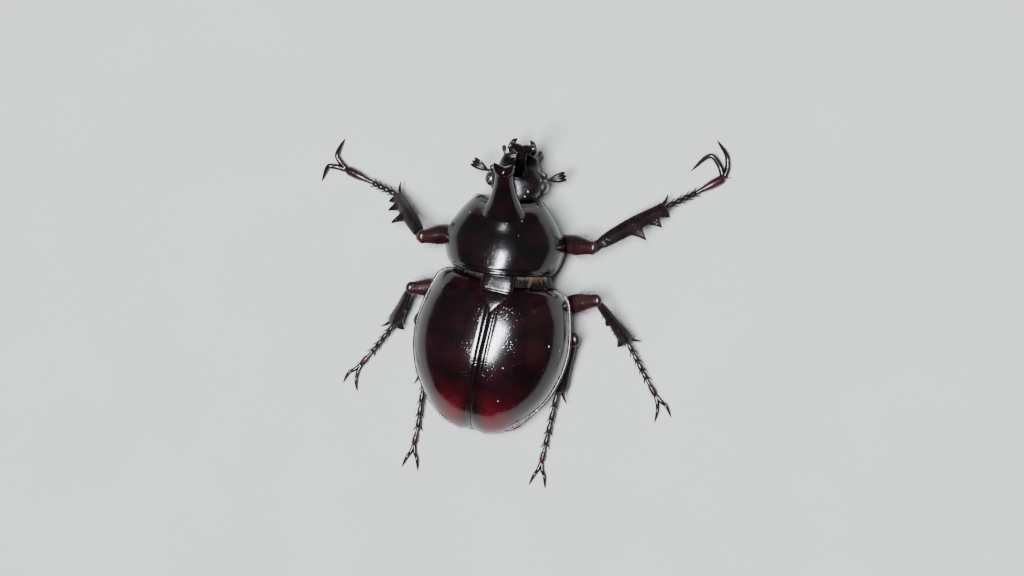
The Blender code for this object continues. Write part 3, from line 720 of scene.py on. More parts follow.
NECK = (0.6, 12.75, 8.9)
NECK_LENGTH = 2.0
HEAD_YAW = -2.0
HEAD_ROLL = 8.0
HEAD_OUTLINE = ((0.0, 3.2), (1.4, 3.9), (2.4, 3.95), (4.0, 3.1), (6.0, 2.3))
HEAD_TOP = ((0.0, 2.3), (2.0, 2.4), (4.0, 1.4), (6.0, 0.0))
HEAD_FLOOR = ((0.0, -2.3), (2.5, -2.6), (6.0, -1.4))
NOTCH = 0.4
EYE_SPOT = (3.72, 1.9, -0.12)
EYE_SIZE = (1.0, 1.12, 1.0)
CLUB_ROOT = (4.65, 3.05, -1.3)
LEAF_TURNS = (10, 23, 36)  # degrees from straight out
LEAF_REACH = 1.25
LEAF_SIZE = (1.35, 0.38, 0.5)


def in_head(x, y, z):
    """A point of the head's own frame, put at the neck; its turn and tilt grow over the neck's length."""
    share = min(1.0, max(0.0, y / NECK_LENGTH))
    turn = Matrix.Rotation(math.radians(HEAD_YAW * share), 4, "Z")
    tilt = Matrix.Rotation(math.radians(HEAD_ROLL * share), 4, "Y")
    return Matrix.Translation(NECK) @ turn @ tilt @ Vector((x, y, z))


def head_path(side, count, *spots):
    """Smooth path through spots of the head's right half, or through their mirror images on its left."""
    return smooth_path([in_head(side * x, y, z) for x, y, z in spots], count)


def make_head(finish):
    """Head with a cheek ridge that runs out over each eye and a raised front rim."""
    rings = []
    front = ((5.85, 0.03), (5.96, 0.12), (6.0, 0.3))
    for y, sunk in (*((y, 0.0) for y in evenly(0.0, 5.7, 44)), *front):
        width = along(HEAD_OUTLINE, y) - sunk
        top = along(HEAD_TOP, y) + 0.32 * swell(y - 5.75, 0.5) - 0.25 * swell(y - 4.7, 0.9) - sunk
        bow = FRONT_BOW * max(0.0, 1 - y / 2) - NOTCH * max(0.0, (y - 4.0) / 2)
        floor = along(HEAD_FLOOR, y) + sunk
        ring = arch_ring(y, width, -0.1 * y, top, floor, bow=bow, count=112)
        for point in ring:
            out = math.copysign(1, point.x)
            level = swell(point.z - 0.15, 0.7)
            point.x += out * level * (0.55 * swell(y - 3.35, 0.75) - 0.3 * swell(y - 1.9, 1.1))
            point.x += out * 0.12 * swell(point.z + 0.1 * y, 0.35) * ease(3.6, 5.0, y)
        rings.append([in_head(*point) for point in ring])
    finished("head", skin(rings), finish, "dark_shell", "head")


def make_eyes(finish):
    """Round eyes, each half sunk in the side of the head."""
    out, ahead, up = EYE_SPOT
    for side, suffix in SIDES:
        ball = blob(in_head(side * out, ahead, up), EYE_SIZE, HEAD_YAW, 28)
        finished(f"eye_{suffix}", ball, finish, "eye", f"eye_{suffix}")


def make_head_horn(finish):
    """Slender horn that rises from the brow and forks into two arms, each with a short second point."""
    shaft = head_path(1, 48, (0, 2.8, 0.5), (0, 4.3, 2.9), (0, 5.4, 6.0), (0, 6.2, 9.2))
    widths = profile((0.0, 2.1), (0.1, 1.5), (0.22, 1.12), (0.45, 0.84), (0.8, 0.76), (1.0, 0.8))
    wide = in_head(1, 3, 0) - in_head(0, 3, 0)

    def keeled(angle, share):
        return 1 + 0.1 * math.cos(3 * (angle - math.pi / 2)) * ease(0.0, 0.5, share)

    horn = tube(shaft, widths, wide, 0.88, 32, keeled)
    arm_widths = profile((0.0, 0.8), (0.25, 0.7), (0.6, 0.48), (0.85, 0.28), (1.0, 0.06))
    for side, _ in SIDES:
        arm = head_path(side, 24, (-0.2, 6.1, 9.0), (0.85, 6.55, 9.85), (1.6, 6.6, 10.35), (2.05, 6.05, 10.5))
        add_to(horn, tube(arm, arm_widths, (0, 0.2, 1), 0.9, 20))
        tine = head_path(side, 12, (1.2, 6.6, 10.1), (1.5, 6.95, 10.5), (1.6, 7.0, 10.85))
        add_to(horn, tube(tine, lambda share: 0.42 * (1 - share) ** 0.8 + 0.04, (1, 0, 0), 1.0, 14))
    finished("head_horn", horn, finish, "dark_shell", "head_horn")


def make_mouthparts(finish, pale):
    """Two curved mandibles, and under them two palps of three joints."""
    jaw_widths = profile((0.0, 0.75), (0.4, 0.68), (0.75, 0.42), (1.0, 0.08))

    def jointed(share):
        joint = max(swell(share - 0.3, 0.06), swell(share - 0.62, 0.05))
        tip = 1 - ease(0.93, 1.0, share) * 0.7
        return (0.2 + 0.14 * ease(0.62, 0.85, share)) * (1 - 0.4 * joint) * tip

    for side, suffix in SIDES:
        jaw = head_path(side, 24, (0.9, 5.9, -0.95), (1.5, 7.2, -0.92), (1.35, 7.9, -0.8), (0.95, 8.3, -0.7))
        mandible = tube(jaw, jaw_widths, (1, 0, 0), 0.62, 20)
        finished(f"mandible_{suffix}", mandible, finish, "dark_shell", f"mandible_{suffix}")
        feeler = head_path(side, 40, (1.5, 4.3, -2.7), (2.4, 5.7, -3.1), (2.8, 7.2, -3.9))
        palp = tube(feeler, jointed, (1, 0, 0), 1.0, 12)
        finished(f"palp_{suffix}", palp, pale, "leg_shell", f"palp_{suffix}")


def make_antennae(finish, club_finish):
    """Stout first joint, a string of short ones, and a club of three leaves that stand on edge and spread."""
    widths = profile((0.0, 0.2), (0.45, 0.3), (0.8, 0.42), (0.95, 0.3), (1.0, 0.12))
    for side, suffix in SIDES:
        first = head_path(side, 20, (3.1, 3.95, -0.85), (3.7, 3.75, -0.95), (4.1, 3.3, -1.15))
        antenna = tube(first, widths, sides=16)
        string = head_path(side, 5, (4.12, 3.28, -1.15), (4.35, 3.05, -1.25), (4.75, 3.1, -1.3))
        for spot, following in zip(string, string[1:]):
            ahead = (following - spot).normalized()
            bead = [spot + step * ahead for step in (0.0, 0.1, 0.24, 0.3)]
            add_to(antenna, tube(bead, lambda share: 0.14 + 0.12 * swell(share - 0.66, 0.5), sides=12))
        finished(f"antenna_{suffix}", antenna, finish, "leg_shell", f"antenna_{suffix}")
        club = bmesh.new()
        x, y, z = CLUB_ROOT
        for turn in LEAF_TURNS:
            away = math.radians(turn)
            out, ahead = LEAF_REACH * math.cos(away), LEAF_REACH * math.sin(away)
            centre = in_head(side * (x + out), y + ahead, z)
            add_to(club, blob(centre, LEAF_SIZE, HEAD_YAW + side * turn, 16))
        finished(f"antenna_club_{suffix}", club, club_finish, "leg_shell", f"antenna_club_{suffix}")


# ---- Legs ----

# Coxa and hip of each right leg; the left ones mirror them
ROOTS = {
    "fore": ((3.4, 7.0, 4.0), (6.0, 6.9, 4.2)),
    "middle": ((4.0, -2.6, 3.4), (6.8, -2.2, 3.5)),
    "hind": ((4.2, -9.2, 3.5), (6.6, -8.7, 3.7)),
}
JOINTS = ("knee", "ankle", "last", "toe")
# Where those joints are, then the bend and tip of each of the two claws
LEGS = {
    "fore_right": (
        ((13.0, 6.5, 9.1), (22.4, 13.9, 4.1), (26.3, 16.6, 1.5), (30.2, 19.4, 0.6)),
        ((30.3, 22.4, 0.7), (28.4, 24.9, 0.25)), ((27.9, 22.4, 1.3), (25.1, 19.9, 0.25)),
    ),
    "fore_left": (
        ((-12.3, 5.0, 9.0), (-18.0, 10.9, 2.9), (-22.0, 12.2, 1.2), (-26.6, 13.8, 0.6)),
        ((-28.3, 15.8, 0.9), (-27.6, 18.4, 0.25)), ((-29.2, 14.0, 1.0), (-30.3, 11.6, 0.25)),
    ),
    "middle_right": (
        ((14.4, -1.0, 7.4), (19.2, -6.4, 2.6), (22.6, -11.6, 0.8), (24.2, -13.8, 0.42)),
        ((26.0, -15.2, 0.75), (26.9, -16.8, 0.25)), ((24.8, -16.1, 0.75), (24.6, -17.9, 0.25)),
    ),
    "middle_left": (
        ((-13.3, -2.7, 7.2), (-15.9, -8.4, 2.6), (-19.0, -13.0, 0.8), (-20.5, -15.1, 0.42)),
        ((-22.2, -16.6, 0.75), (-23.0, -18.3, 0.25)), ((-21.0, -17.5, 0.75), (-20.7, -19.3, 0.25)),
    ),
    "hind_right": (
        ((11.7, -7.1, 5.8), (9.9, -15.0, 2.7), (8.9, -23.4, 0.8), (8.6, -26.0, 0.42)),
        ((9.3, -28.1, 0.75), (9.6, -29.9, 0.25)), ((7.8, -28.0, 0.75), (7.1, -29.7, 0.25)),
    ),
    "hind_left": (
        ((-11.7, -7.1, 5.8), (-10.3, -15.0, 2.7), (-10.6, -23.4, 0.8), (-10.9, -26.0, 0.42)),
        ((-11.7, -28.0, 0.75), (-12.4, -29.7, 0.25)), ((-10.2, -28.1, 0.75), (-9.9, -29.9, 0.25)),
    ),
}
FEMUR_RADIUS = {"fore": 1.5, "middle": 1.4, "hind": 1.55}
TOOTH_RISE = 0.13  # shares of the tibia's length before and behind a tooth's tip
TOOTH_FALL = 0.04
# Tibia's half widths at knee, middle and end, how flat it is, its outer teeth as (share of its length,
# length of the tooth), and the lengths of the spurs at its end
TIBIAE = {
    "fore": ((0.95, 1.15, 0.9), 0.5, ((0.61, 1.45), (0.84, 1.4), (0.985, 0.95)), (2.2,)),
    "middle": ((0.6, 0.75, 1.05), 0.75, ((0.54, 0.7), (0.975, 0.8)), (2.3, 1.7)),
    "hind": ((0.6, 0.8, 1.2), 0.75, ((0.54, 0.7), (0.975, 0.8)), (2.4, 1.8)),
}
FOOT_RADII = {"fore": (0.42, 0.85), "middle": (0.34, 0.55), "hind": (0.36, 0.55)}
CLAW_RADIUS = {"fore": 0.55, "middle": 0.38, "hind": 0.38}


def pair_and_side(leg):
    """The name of a leg's pair, and 1 for a right leg or -1 for a left one."""
    pair, side = leg.split("_")
    return pair, 1 if side == "right" else -1


def leg_joints(leg):
    """Places of a leg's joints; the middle and hind ones grow on the turned hind body."""
    pair, side = pair_and_side(leg)
    joints = {name: Vector(spot) for name, spot in zip(JOINTS, LEGS[leg][0])}
    for name, (x, y, z) in zip(("coxa", "hip"), ROOTS[pair]):
        root = Vector((side * x, y, z))
        joints[name] = root if pair == "fore" else behind_waist(root)
    return joints


def level_across(ahead):
    """Level direction to the right of the way ahead."""
    return ahead.cross(UP).normalized()


def shin_ways(leg, joints):
    """Direction from knee to ankle, and the level one towards the shin's outer edge."""
    ahead = (joints["ankle"] - joints["knee"]).normalized()
    return ahead, pair_and_side(leg)[1] * level_across(ahead)


def limb_path(start, end, before, after, count, rise=0.0):
    """Points from a little before a joint to a little past the next one, with a slight bend upwards."""
    ahead = (end - start).normalized()
    near, far = start - before * ahead, end + after * ahead
    lift = rise * UP
    return [near.lerp(far, share) + lift * (4 * share * (1 - share)) for share in evenly(0, 1, count)]


def make_coxa(leg, joints, finish):
    """Barrel under the body in which the leg turns."""
    widths = profile((0.0, 0.5), (0.08, 1.05), (0.35, 1.4), (0.7, 1.3), (0.92, 0.95), (1.0, 0.4))
    path = limb_path(joints["coxa"], joints["hip"], 1.4, 0.7, 24)
    coxa = tube(path, widths, (0, 1, 0), 0.9, 28)
    finished(f"{leg}_coxa", coxa, finish, "leg_shell", f"leg_{leg}_coxa")


def make_femur(leg, joints, finish):
    """Thigh with a small ring at its root, thickest beyond its middle, with lobes that hold the knee."""
    thick = FEMUR_RADIUS[pair_and_side(leg)[0]]
    bulk = profile(
        (0.0, 0.2), (0.03, 0.5), (0.1, 0.62), (0.17, 0.6), (0.2, 0.66), (0.38, 0.85), (0.58, 1.0),
        (0.82, 0.74), (0.95, 0.58), (0.985, 0.4), (1.0, 0.12),
    )
    path = limb_path(joints["hip"], joints["knee"], 0.7, 0.75, 56)

    def section(angle, share):
        lobes = 0.1 * swell(share - 0.93, 0.06) * abs(math.cos(angle))
        return 1 - 0.12 * swell(math.sin(angle) - 1, 0.5) + lobes

    femur = tube(path, lambda share: thick * bulk(share), (0, 1, 0.2), 0.78, 36, section)
    finished(f"{leg}_femur", femur, finish, "leg_shell", f"leg_{leg}_femur")


def spike(foot, tip, radius, lean, count=10, sides=10):
    """Pointed spine from foot to tip that bends over towards the lean."""
    middle = foot.lerp(tip, 0.5) + lean
    path = smooth_path((foot, middle, tip), count)
    return tube(path, lambda share: radius * (1 - share) ** 0.7 + 0.02, (0.3, 0.2, 1), 1.0, sides)


def make_tibia(leg, joints, finish):
    """Shin with keels along it, flat digging teeth on its outer edge, and spurs and bristles at its end."""
    pair = pair_and_side(leg)[0]
    (thin, middle, broad), flat, teeth, spurs = TIBIAE[pair]
    knee, ankle = joints["knee"], joints["ankle"]
    ahead, outer = shin_ways(leg, joints)
    root = ((0.0, 0.25), (0.02, 0.6), (0.07, 0.95), (0.13, 0.8), (0.2, 1.0))
    end = ((0.9, 1.0), (0.97, 0.95), (0.99, 0.7), (1.0, 0.35))
    widths = profile(
        *((share, value * thin) for share, value in root), (0.55, middle),
        *((share, value * broad) for share, value in end),
    )

    def bladed(angle, share):
        out = max(0.0, math.cos(angle))
        tooth = 0
        for at, length in teeth:
            off = max((at - share) / TOOTH_RISE, (share - at) / TOOTH_FALL)
            tooth += length * max(0.0, 1 - off) ** 1.5
        keels = 0.07 * math.cos(4 * angle) * ease(0.15, 0.3, share) * (1 - out)
        return 1 + (tooth / broad) * out**7 + keels

    path = limb_path(knee, ankle, 0.6, 0.1, 150, 0.15)
    tibia = tube(path, widths, outer, flat, 40, bladed)
    over = outer.cross(ahead)
    for i, length in enumerate(spurs):
        foot = ankle - (0.55 - 0.25 * i) * broad * outer - 0.35 * ahead - 0.2 * i * over
        tip = foot + length * (0.86 * ahead - (0.5 - 0.45 * i) * outer) - 0.25 * over
        add_to(tibia, spike(foot, tip, 0.3, 0.12 * ahead + 0.1 * outer))
    if pair != "fore":
        for at, reach in ((0.3, 0.4), (0.42, 0.45), (0.62, 0.4), (0.7, 0.4)):
            foot = knee.lerp(ankle, at) + 0.5 * widths(at) * outer
            tip = foot + (0.35 + reach) * outer + 0.4 * ahead
            add_to(tibia, spike(foot, tip, 0.16, 0.05 * ahead, 6, 8))
        for i in range(6):
            turn = math.pi * (i / 5 - 0.5)
            out = math.cos(turn) * outer + 0.75 * math.sin(turn) * over
            foot = ankle + 0.75 * broad * out - 0.3 * ahead
            add_to(tibia, spike(foot, foot + 0.6 * ahead + 0.25 * out, 0.17, 0.03 * out, 6, 8))
    finished(f"{leg}_tibia", on_floor(tibia), finish, "leg_shell", f"leg_{leg}_tibia")


def on_floor(bm):
    """Flattens what would reach below the floor."""
    for corner in bm.verts:
        corner.co.z = max(corner.co.z, SOLE)
    return bm


def foot_joint(start, end, thin, thick):
    """One joint of the foot: narrow at its root, widening to a rim, with a rounded end."""
    widths = profile(
        (0.0, 0.35 * thin), (0.06, 0.8 * thin), (0.3, 0.85 * thin), (0.75, thick), (0.92, 0.95 * thick),
        (1.0, 0.35 * thick),
    )
    return tube([start.lerp(end, share) for share in evenly(0, 1, 14)], widths, flat=0.9, sides=16)


def make_tarsus(leg, joints, finish, last_finish):
    """Foot of four short joints with spines at their ends and a long, thick, redder last one."""
    thin, thick = FOOT_RADII[pair_and_side(leg)[0]]
    ankle, last, toe = joints["ankle"], joints["last"], joints["toe"]
    ahead = (last - ankle).normalized()
    across = level_across(ahead)
    start = ankle - 0.15 * ahead
    stops = [start.lerp(last, share) for share in (0.0, 0.3, 0.54, 0.77, 1.0)]
    foot = bmesh.new()
    for i, (near, far) in enumerate(zip(stops, stops[1:])):
        add_to(foot, foot_joint(near - 0.1 * ahead, far, thin * (1 + 0.05 * i), 1.35 * thin))
        for lean in (-1, -0.35, 0.35, 1):
            root = far - 0.12 * ahead + 0.85 * thin * lean * across - 0.5 * thin * UP
            tip = root + 0.75 * ahead + 0.4 * lean * across
            add_to(foot, spike(root, tip, 0.1, 0.05 * lean * across, 6, 6))
    way = (toe - last).normalized()
    widths = profile(
        (0.0, 0.4 * thin), (0.05, 0.85 * thin), (0.3, 0.6 * thick), (0.6, 0.95 * thick), (0.85, thick),
        (0.96, 0.75 * thick), (1.0, 0.3 * thick),
    )
    end = tube(limb_path(last, toe, 0.15, 0.1, 28, 0.1), widths, flat=0.85, sides=24)
    for lean in (-0.45, 0.45):
        root = toe - 0.05 * way - 0.3 * thick * UP
        tip = root + 1.3 * thick * way + lean * way.cross(UP)
        add_to(end, spike(root, tip, 0.12, Vector(), 6, 6))
    finished(f"{leg}_last_joint", on_floor(end), last_finish, "leg_shell")
    finished(f"{leg}_tarsus", on_floor(foot), finish, "leg_shell", f"leg_{leg}_tarsus")


def make_claws(leg, joints, finish):
    """Two curved claws, each thick at its root and drawn out to a sharp point."""
    thick = CLAW_RADIUS[pair_and_side(leg)[0]]
    way = (joints["toe"] - joints["last"]).normalized()
    widths = profile(
        (0.0, 0.5 * thick), (0.08, thick), (0.25, 0.95 * thick), (0.5, 0.82 * thick), (0.8, 0.55 * thick),
        (1.0, 0.05),
    )
    claws = bmesh.new()
    for bend, tip in LEGS[leg][1:]:
        bend, tip = Vector(bend), Vector(tip)
        root = joints["toe"] + 0.15 * way
        shoulder = root.lerp(bend, 0.45) + 0.25 * way
        path = smooth_path((root - 0.3 * way, shoulder, bend, tip), 36)
        add_to(claws, tube(path, widths, flat=0.85))
    finished(f"{leg}_claws", on_floor(claws), finish, "dark_shell", f"leg_{leg}_claws")


def make_legs(thigh, shin, foot, claw):
    """All six legs, each in a finish for its thigh, its shin and foot, its last joint and its claws."""
    for leg in LEGS:
        joints = leg_joints(leg)
        make_coxa(leg, joints, thigh)
        make_femur(leg, joints, thigh)
        make_tibia(leg, joints, shin)
        make_tarsus(leg, joints, shin, foot)
        make_claws(leg, joints, claw)


# ---- Hair ----

HAIR_TIP = 0.004
BRISTLE_RADIUS = 0.028
PATCH_WIDTH = 0.0012  # of one hair on the unwrap, and its step from level to level
PATCH_STEP = 0.0008


class Coat:
    """Many stiff hairs that make one piece, each of them the same small bent cone put in its own place."""

    def __init__(self):
        levels = range(HAIR_LEVELS)
        cone = skin([[Vector((0, 0, level)) for _ in range(HAIR_SIDES)] for level in levels])
        bmesh.ops.triangulate(cone, faces=cone.faces)
        self.levels = [round(corner.co.z) for corner in cone.verts]
        self.turns = []
        seen = [0 for _ in levels]
        for level in self.levels:
            self.turns.append(2 * math.pi * seen[level] / HAIR_SIDES)
            seen[level] += 1
        self.cone = bpy.data.meshes.new("hair")
        cone.to_mesh(self.cone)
        cone.free()
        self.cone.uv_layers.new(name="OFBake")
        self.all = bmesh.new()

    def add(self, root, tip, lean, radius, place):
        """One hair from root to tip, bent towards the lean; place is where it lies on the unwrap."""
        ahead = (tip - root).normalized()
        across = ahead.orthogonal().normalized()
        beside = ahead.cross(across)
        spine = []
        for share in evenly(0, 1, HAIR_LEVELS):
            bend = lean * (4 * share * (1 - share) * 0.5)
            spine.append((root + (tip - root) * share + bend, radius * (1 - share) ** 0.8 + HAIR_TIP))
        spots = []
        for level, turn in zip(self.levels, self.turns):
            middle, half = spine[level]
            spots.extend(middle + half * (math.cos(turn) * across + math.sin(turn) * beside))
        self.cone.vertices.foreach_set("co", spots)
        patch = []
        for loop in self.cone.loops:
            level, turn = self.levels[loop.vertex_index], self.turns[loop.vertex_index]
            patch.append(place[0] + PATCH_WIDTH * math.cos(level + turn))
            patch.append(place[1] + PATCH_STEP * (level - 1.5))
        self.cone.uv_layers["OFBake"].uv.foreach_set("vector", patch)
        self.all.from_mesh(self.cone)

    def done(self, name, finish):
        bpy.data.meshes.remove(self.cone)
        finished(name, self.all, finish, "leg_shell", edges=180)


def scattered(count, seed):
    """Evenly scattered pairs of shares, each with a number from 0 to 1 that varies from hair to hair."""
    chance = random.Random(seed)
    return [(chance.random(), chance.random(), chance.random()) for _ in range(count)]


def lying(spread, forward, up):
    """How hairs lie over a strip: they fan out from its middle to both ends."""
    return lambda share, depth: (spread * (2 * share - 1), forward, up)


def fringe(name, finish, count, spot_at, way_at, length, radius, seed):
    """Hairs over a strip; spot_at(share, depth) gives the root and way_at(share, depth) the way they lie."""
    coat = Coat()
    for share, depth, luck in scattered(count, seed):
        root = Vector(spot_at(share, depth))
        way = Vector(way_at(share, depth)).normalized()
        sway = noise.noise_vector(1.7 * root) * 0.45 + 0.18 * noise.noise_vector(9.0 * root)
        reach = length * (0.6 + 0.8 * luck)
        tip = root + reach * (way + sway).normalized()
        lean = 0.12 * reach * Vector((0, 0, 1 if luck > 0.5 else -0.4))
        coat.add(root, tip, lean, radius, (0.02 + 0.96 * share, 0.02 + 0.96 * depth))
    coat.done(name, finish)


def waist_fringe(finish):
    """Golden hairs that stand from under the pronotum's rear edge over the collar."""

    def spot(share, depth):
        x = -7.2 + 14.4 * share**0.6
        curve = 1 - (x / 8.2) ** 2
        y = PRONOTUM_REAR - REAR_BOW * curve + 0.25 - 0.25 * depth
        return x, y, 9.0 + 6.0 * max(0.0, curve) ** 0.5 - 0.25 - 0.3 * depth

    fringe("waist_fringe", finish, 280, spot, lying(0.25, -1, -0.25), 0.6, 0.018, 3)

    def corner(share, depth):
        x = 4.6 + 2.5 * share
        return x, 1.25 - 0.9 * depth - 0.02 * x, 8.4 + 5.9 * (1 - (x / 7.4) ** 2.2) ** 0.45

    fringe("waist_tuft", finish, 150, corner, lambda share, depth: (0.35, -1, 0.15), 0.8, 0.02, 4)


def hung(side, edge, floor, square=2.0, root=0.5):
    """Height of a rounded underside; side goes from -1 at its left edge to 1 at its right one."""
    return edge - (edge - floor) * max(0.0, 1 - abs(side) ** square) ** root


def belly_hairs(finish):
    """Long soft hairs over the chest, between and behind the legs, and over the rear end."""

    def chest(share, depth):
        y, side = -0.9 - 8.6 * depth, 2 * share - 1
        level = hung(side, under_skirt(y, 0.8), chest_floor(y)) + 0.03
        return behind_waist((0.86 * wing_case_width(y) * side, y, level))

    fringe("chest_hairs", finish, 1500, chest, lying(0.5, -1, -0.3), 1.3, 0.022, 5)

    def fore_chest(share, depth):
        y, side = 1.2 + 10.0 * depth, 2 * share - 1
        top = pronotum_edge(y) - PRONOTUM_SKIRT - 0.7
        return 0.84 * pronotum_width(y) * side, y, hung(side, top, fore_chest_floor(y)) + 0.03

    def parted(share, depth):
        return 0.7 * (2 * share - 1), 0.3 - depth, -0.3

    fringe("fore_chest_hairs", finish, 1300, fore_chest, parted, 1.25, 0.022, 7)

    def plate_rows(share, depth):
        plate, side = PLATES[1 + min(3, int(4 * depth))], 2 * share - 1
        level = hung(side, under_skirt(plate, 0.8), belly_floor(plate + 0.05), 2.2, 0.45)
        return behind_waist((0.86 * wing_case_width(plate) * side, plate + 0.12, level))

    fringe("belly_rows", finish, 420, plate_rows, lying(0.2, -1, -0.2), 0.9, 0.02, 9)

    def rear(share, depth):
        _, middle, height = PYGIDIUM_MIDDLE
        wide, long, deep = PYGIDIUM_SIZE
        turn = math.pi * (share - 0.5) * 0.92
        level = 5.9 - 2.2 * depth
        reach = 0.97 * (1 - ((level - height) / deep) ** 2) ** 0.5
        return behind_waist((wide * math.sin(turn) * reach, middle - long * math.cos(turn) * reach, level))

    fringe("rear_hairs", finish, 700, rear, lying(0.4, -0.5, -1), 0.8, 0.02, 11)


def mouth_brush(finish):
    """Brushes under the front of the head, between the jaws, and hairs on the throat."""

    def spot(share, depth):
        return in_head(-1.7 + 3.4 * share, 5.4 + 0.6 * depth, -1.3 - 0.5 * depth)

    fringe("mouth_brush", finish, 360, spot, lying(0.3, 1, -0.5), 1.2, 0.02, 13)

    def throat(share, depth):
        return in_head(-2.3 + 4.6 * share, 0.8 + 3.8 * depth, -2.35 + 0.5 * (2 * share - 1) ** 2 * 2)

    fringe("throat_hairs", finish, 300, throat, lying(0.3, 0.4, -0.8), 1.0, 0.02, 15)


def leg_hairs(leg, finish):
    """Rows of bristles along both edges of the thigh, the shin and the foot."""
    joints = leg_joints(leg)
    pair, side = leg.split("_")
    (thin, middle, broad), flat = TIBIAE[pair][:2]
    thick = FEMUR_RADIUS[pair]
    chance = random.Random(len(leg) * 7 + ord(leg[0]) + ord(side[0]))
    coat = Coat()

    def row(start, end, out, half, count, length, drop, spread=0.5):
        ahead = (end - start).normalized()
        over = ahead.cross(out)
        for i in range(count):
            share = (i + chance.random()) / count
            turn = spread * (2 * chance.random() - 1)
            way = math.cos(turn) * out + math.sin(turn) * over
            round_it = math.cos(turn) * out + math.sin(turn) * flat * over
            root = start.lerp(end, share) + 0.93 * half(share) * round_it
            reach = length * (0.7 + 0.6 * chance.random())
            sway = 0.25 * Vector((chance.random() - 0.5, chance.random() - 0.5, -drop))
            tip = root + reach * (0.6 * way + 0.8 * ahead + sway).normalized()
            place = (0.05 + 0.9 * share, 0.5 + 0.45 * math.sin(turn))
            coat.add(root, tip, 0.1 * reach * way, BRISTLE_RADIUS, place)

    hip, knee, ankle = joints["hip"], joints["knee"], joints["ankle"]
    outer = shin_ways(leg, joints)[1]
    width = profile((0.0, 0.8 * thin), (0.2, thin), (0.55, middle), (0.9, broad))
    row(knee.lerp(ankle, 0.15), ankle, -outer, width, 46, 0.9, 0.3)
    row(knee.lerp(ankle, 0.15), ankle, outer, width, 26, 0.6, 0.2)
    bulk = profile((0.0, 0.7), (0.4, 0.85), (0.6, 1.0), (1.0, 0.6))
    start, end = hip.lerp(knee, 0.42), hip.lerp(knee, 0.9)
    level = level_across((knee - hip).normalized())
    for out in (level, -level):
        row(start, end, out, lambda share: thick * bulk(share), 30, 0.95, 0.5, 0.45)
    for out in (outer, -outer):
        row(ankle, joints["toe"], 0.95 * out - Vector((0, 0, 0.3)), lambda share: 0.4, 14, 0.7, 0.0, 0.3)
    on_floor(coat.all)
    coat.done(f"{leg}_bristles", finish)


# ---- Stage, camera and light ----


def make_floor():
    """Plain floor, 3 m square."""
    bm = bmesh.new()
    bmesh.ops.create_grid(bm, x_segments=1, y_segments=1, size=1.5)
    mesh = bpy.data.meshes.new("floor")
    bm.to_mesh(mesh)
    bm.free()
    mesh.materials.append(floor_finish())
    floor = placed("floor", mesh)


CAMERA_TILT = math.radians(8)
CAMERA_ROLL = math.radians(7.4)
CAMERA_AIM = (1.98, -0.79, 9.0)
CAMERA_DISTANCE = 0.35
LIT_SPOT = (0, 0, 9)
VIEW_WIDTH = 0.14993  # metres across the view at the aim


def in_metres(x, y, z):
    """A point of the beetle's own frame, put in its place."""
    return WAIST + MM * Vector((x, y, z))


def make_camera():
    """Camera nearly straight above, tilted to the beetle's right and rolled a little."""
    back = Vector((math.sin(CAMERA_TILT), 0, math.cos(CAMERA_TILT)))
    level = Vector((math.cos(CAMERA_TILT), 0, -math.sin(CAMERA_TILT)))
    ahead = Vector((0, 1, 0))
    right = math.cos(CAMERA_ROLL) * level + math.sin(CAMERA_ROLL) * ahead
    up = -math.sin(CAMERA_ROLL) * level + math.cos(CAMERA_ROLL) * ahead
    lens = bpy.data.cameras.new("camera")
    lens.lens = lens.sensor_width * CAMERA_DISTANCE / VIEW_WIDTH
    lens.clip_start = 0.005
    camera = placed("camera", lens)
    camera.matrix_world = Matrix((right, up, back)).transposed().to_4x4()
    camera.location = in_metres(*CAMERA_AIM) + CAMERA_DISTANCE * back
    bpy.context.scene.camera = camera


# Name, place in millimetres, size in metres, power in watts and colour of each lamp
LAMPS = (
    ("key", (-43, -90, 1190), (0.21, 0.56), 63, (0.88, 0.94, 1.0)),
    ("fill_left", (-330, 60, 190), (0.5, 0.5), 0.07, (0.93, 0.96, 1.0)),
    ("fill_right", (330, 120, 160), (0.5, 0.5), 0.09, (1.0, 0.97, 0.93)),
)
ROOM_COLOUR = (0.92, 0.95, 1.0, 1.0)
ROOM_STRENGTH = 0.05


def add_light(name, place, size, power, colour):
    """Soft lamp that faces the beetle."""
    data = bpy.data.lights.new(name, "AREA")
    data.shape = "RECTANGLE"
    data.size, data.size_y = size
    data.energy = power
    data.color = colour
    light = placed(name, data)
    light.location = in_metres(*place)
    light.rotation_euler = (light.location - in_metres(*LIT_SPOT)).to_track_quat("Z", "Y").to_euler()


def make_light():
    """Strong cool key from high behind the beetle, faint fills from both sides and a dim room."""
    for lamp in LAMPS:
        add_light(*lamp)
    world = bpy.data.worlds.new("studio")
    world.use_nodes = True
    background = world.node_tree.nodes["Background"]
    background.inputs["Color"].default_value = ROOM_COLOUR
    background.inputs["Strength"].default_value = ROOM_STRENGTH
    bpy.context.scene.world = world


# ---- The whole beetle ----

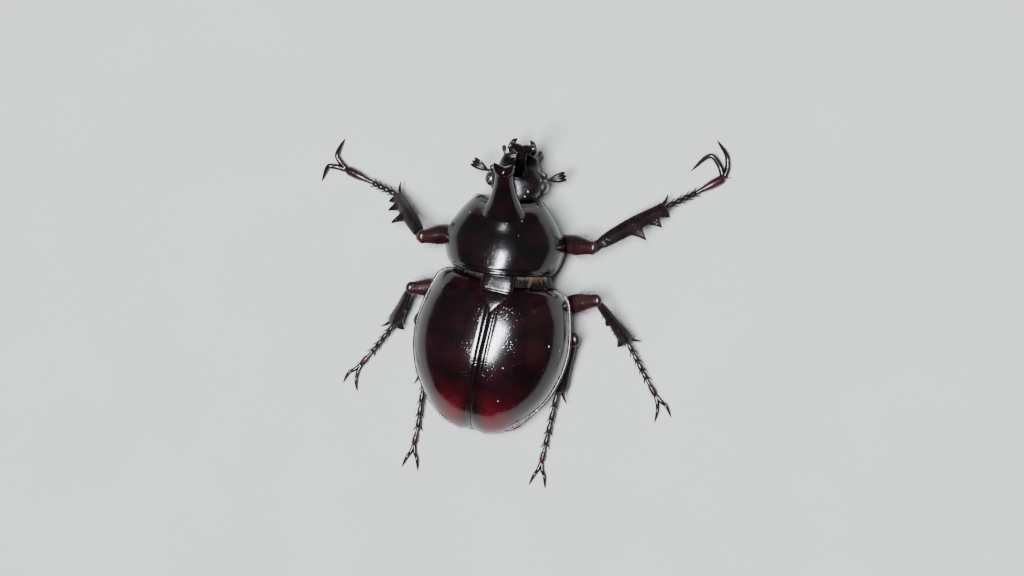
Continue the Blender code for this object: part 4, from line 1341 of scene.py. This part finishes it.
make_floor()
make_camera()
make_light()
wing = wing_case_finish()
black = black_shell_finish("black_shell", (0.0016, 0.0012, 0.0014), (0.005, 0.0015, 0.0017))
collar = black_shell_finish(
    "collar_shell", (0.0015, 0.0012, 0.0012), (0.004, 0.002, 0.002), 0.4, 0.02, rough=0.5, shine=0.1
)
head_black = black_shell_finish(
    "head_shell", (0.0026, 0.0021, 0.0023), (0.006, 0.003, 0.003), 0.26, 0.018, rough=0.18, shine=0.3
)
claw_black = black_shell_finish("claw_horn", (0.004, 0.002, 0.002), (0.014, 0.004, 0.004), 0.6, rough=0.2)
belly = black_shell_finish(
    "belly_shell", (0.012, 0.004, 0.003), (0.032, 0.009, 0.006), 0.4, 0.02, rough=0.22
)
thigh = leg_finish("thigh_horn", (0.006, 0.002, 0.002), (0.021, 0.005, 0.005))
shin = leg_finish("shin_horn", (0.0025, 0.0014, 0.0015), (0.008, 0.0027, 0.0029))
foot = leg_finish("foot_horn", (0.007, 0.002, 0.0025), (0.032, 0.004, 0.007))
feeler = leg_finish("feeler_horn", (0.01, 0.004, 0.0035), (0.03, 0.009, 0.006))
club = black_shell_finish(
    "feeler_club_horn", (0.004, 0.002, 0.002), (0.012, 0.005, 0.004), depth=0.01, rough=0.28, shine=0.3
)
make_wing_cases(wing)
make_scutellum(black)
make_collar(collar)
make_abdomen(belly)
make_pygidium(wing)
make_metasternum(belly)
make_pronotum(black)
make_pronotal_horn(black)
make_prosternum(belly)
make_head(head_black)
make_eyes(eye_finish())
make_head_horn(black)
make_mouthparts(collar, feeler)
make_antennae(feeler, club)
make_legs(thigh, shin, foot, claw_black)
golden = hair_finish("golden_hair", (0.02, 0.01, 0.005), (0.12, 0.075, 0.028))
auburn = hair_finish("auburn_hair", (0.09, 0.025, 0.008), (0.22, 0.07, 0.02))
bristle = hair_finish("dark_bristle", (0.02, 0.007, 0.004), (0.07, 0.02, 0.01))
noise.seed_set(11)  # without a seed the noise follows the clock
waist_fringe(golden)
belly_hairs(auburn)
mouth_brush(auburn)
for leg in LEGS:
    leg_hairs(leg, bristle)
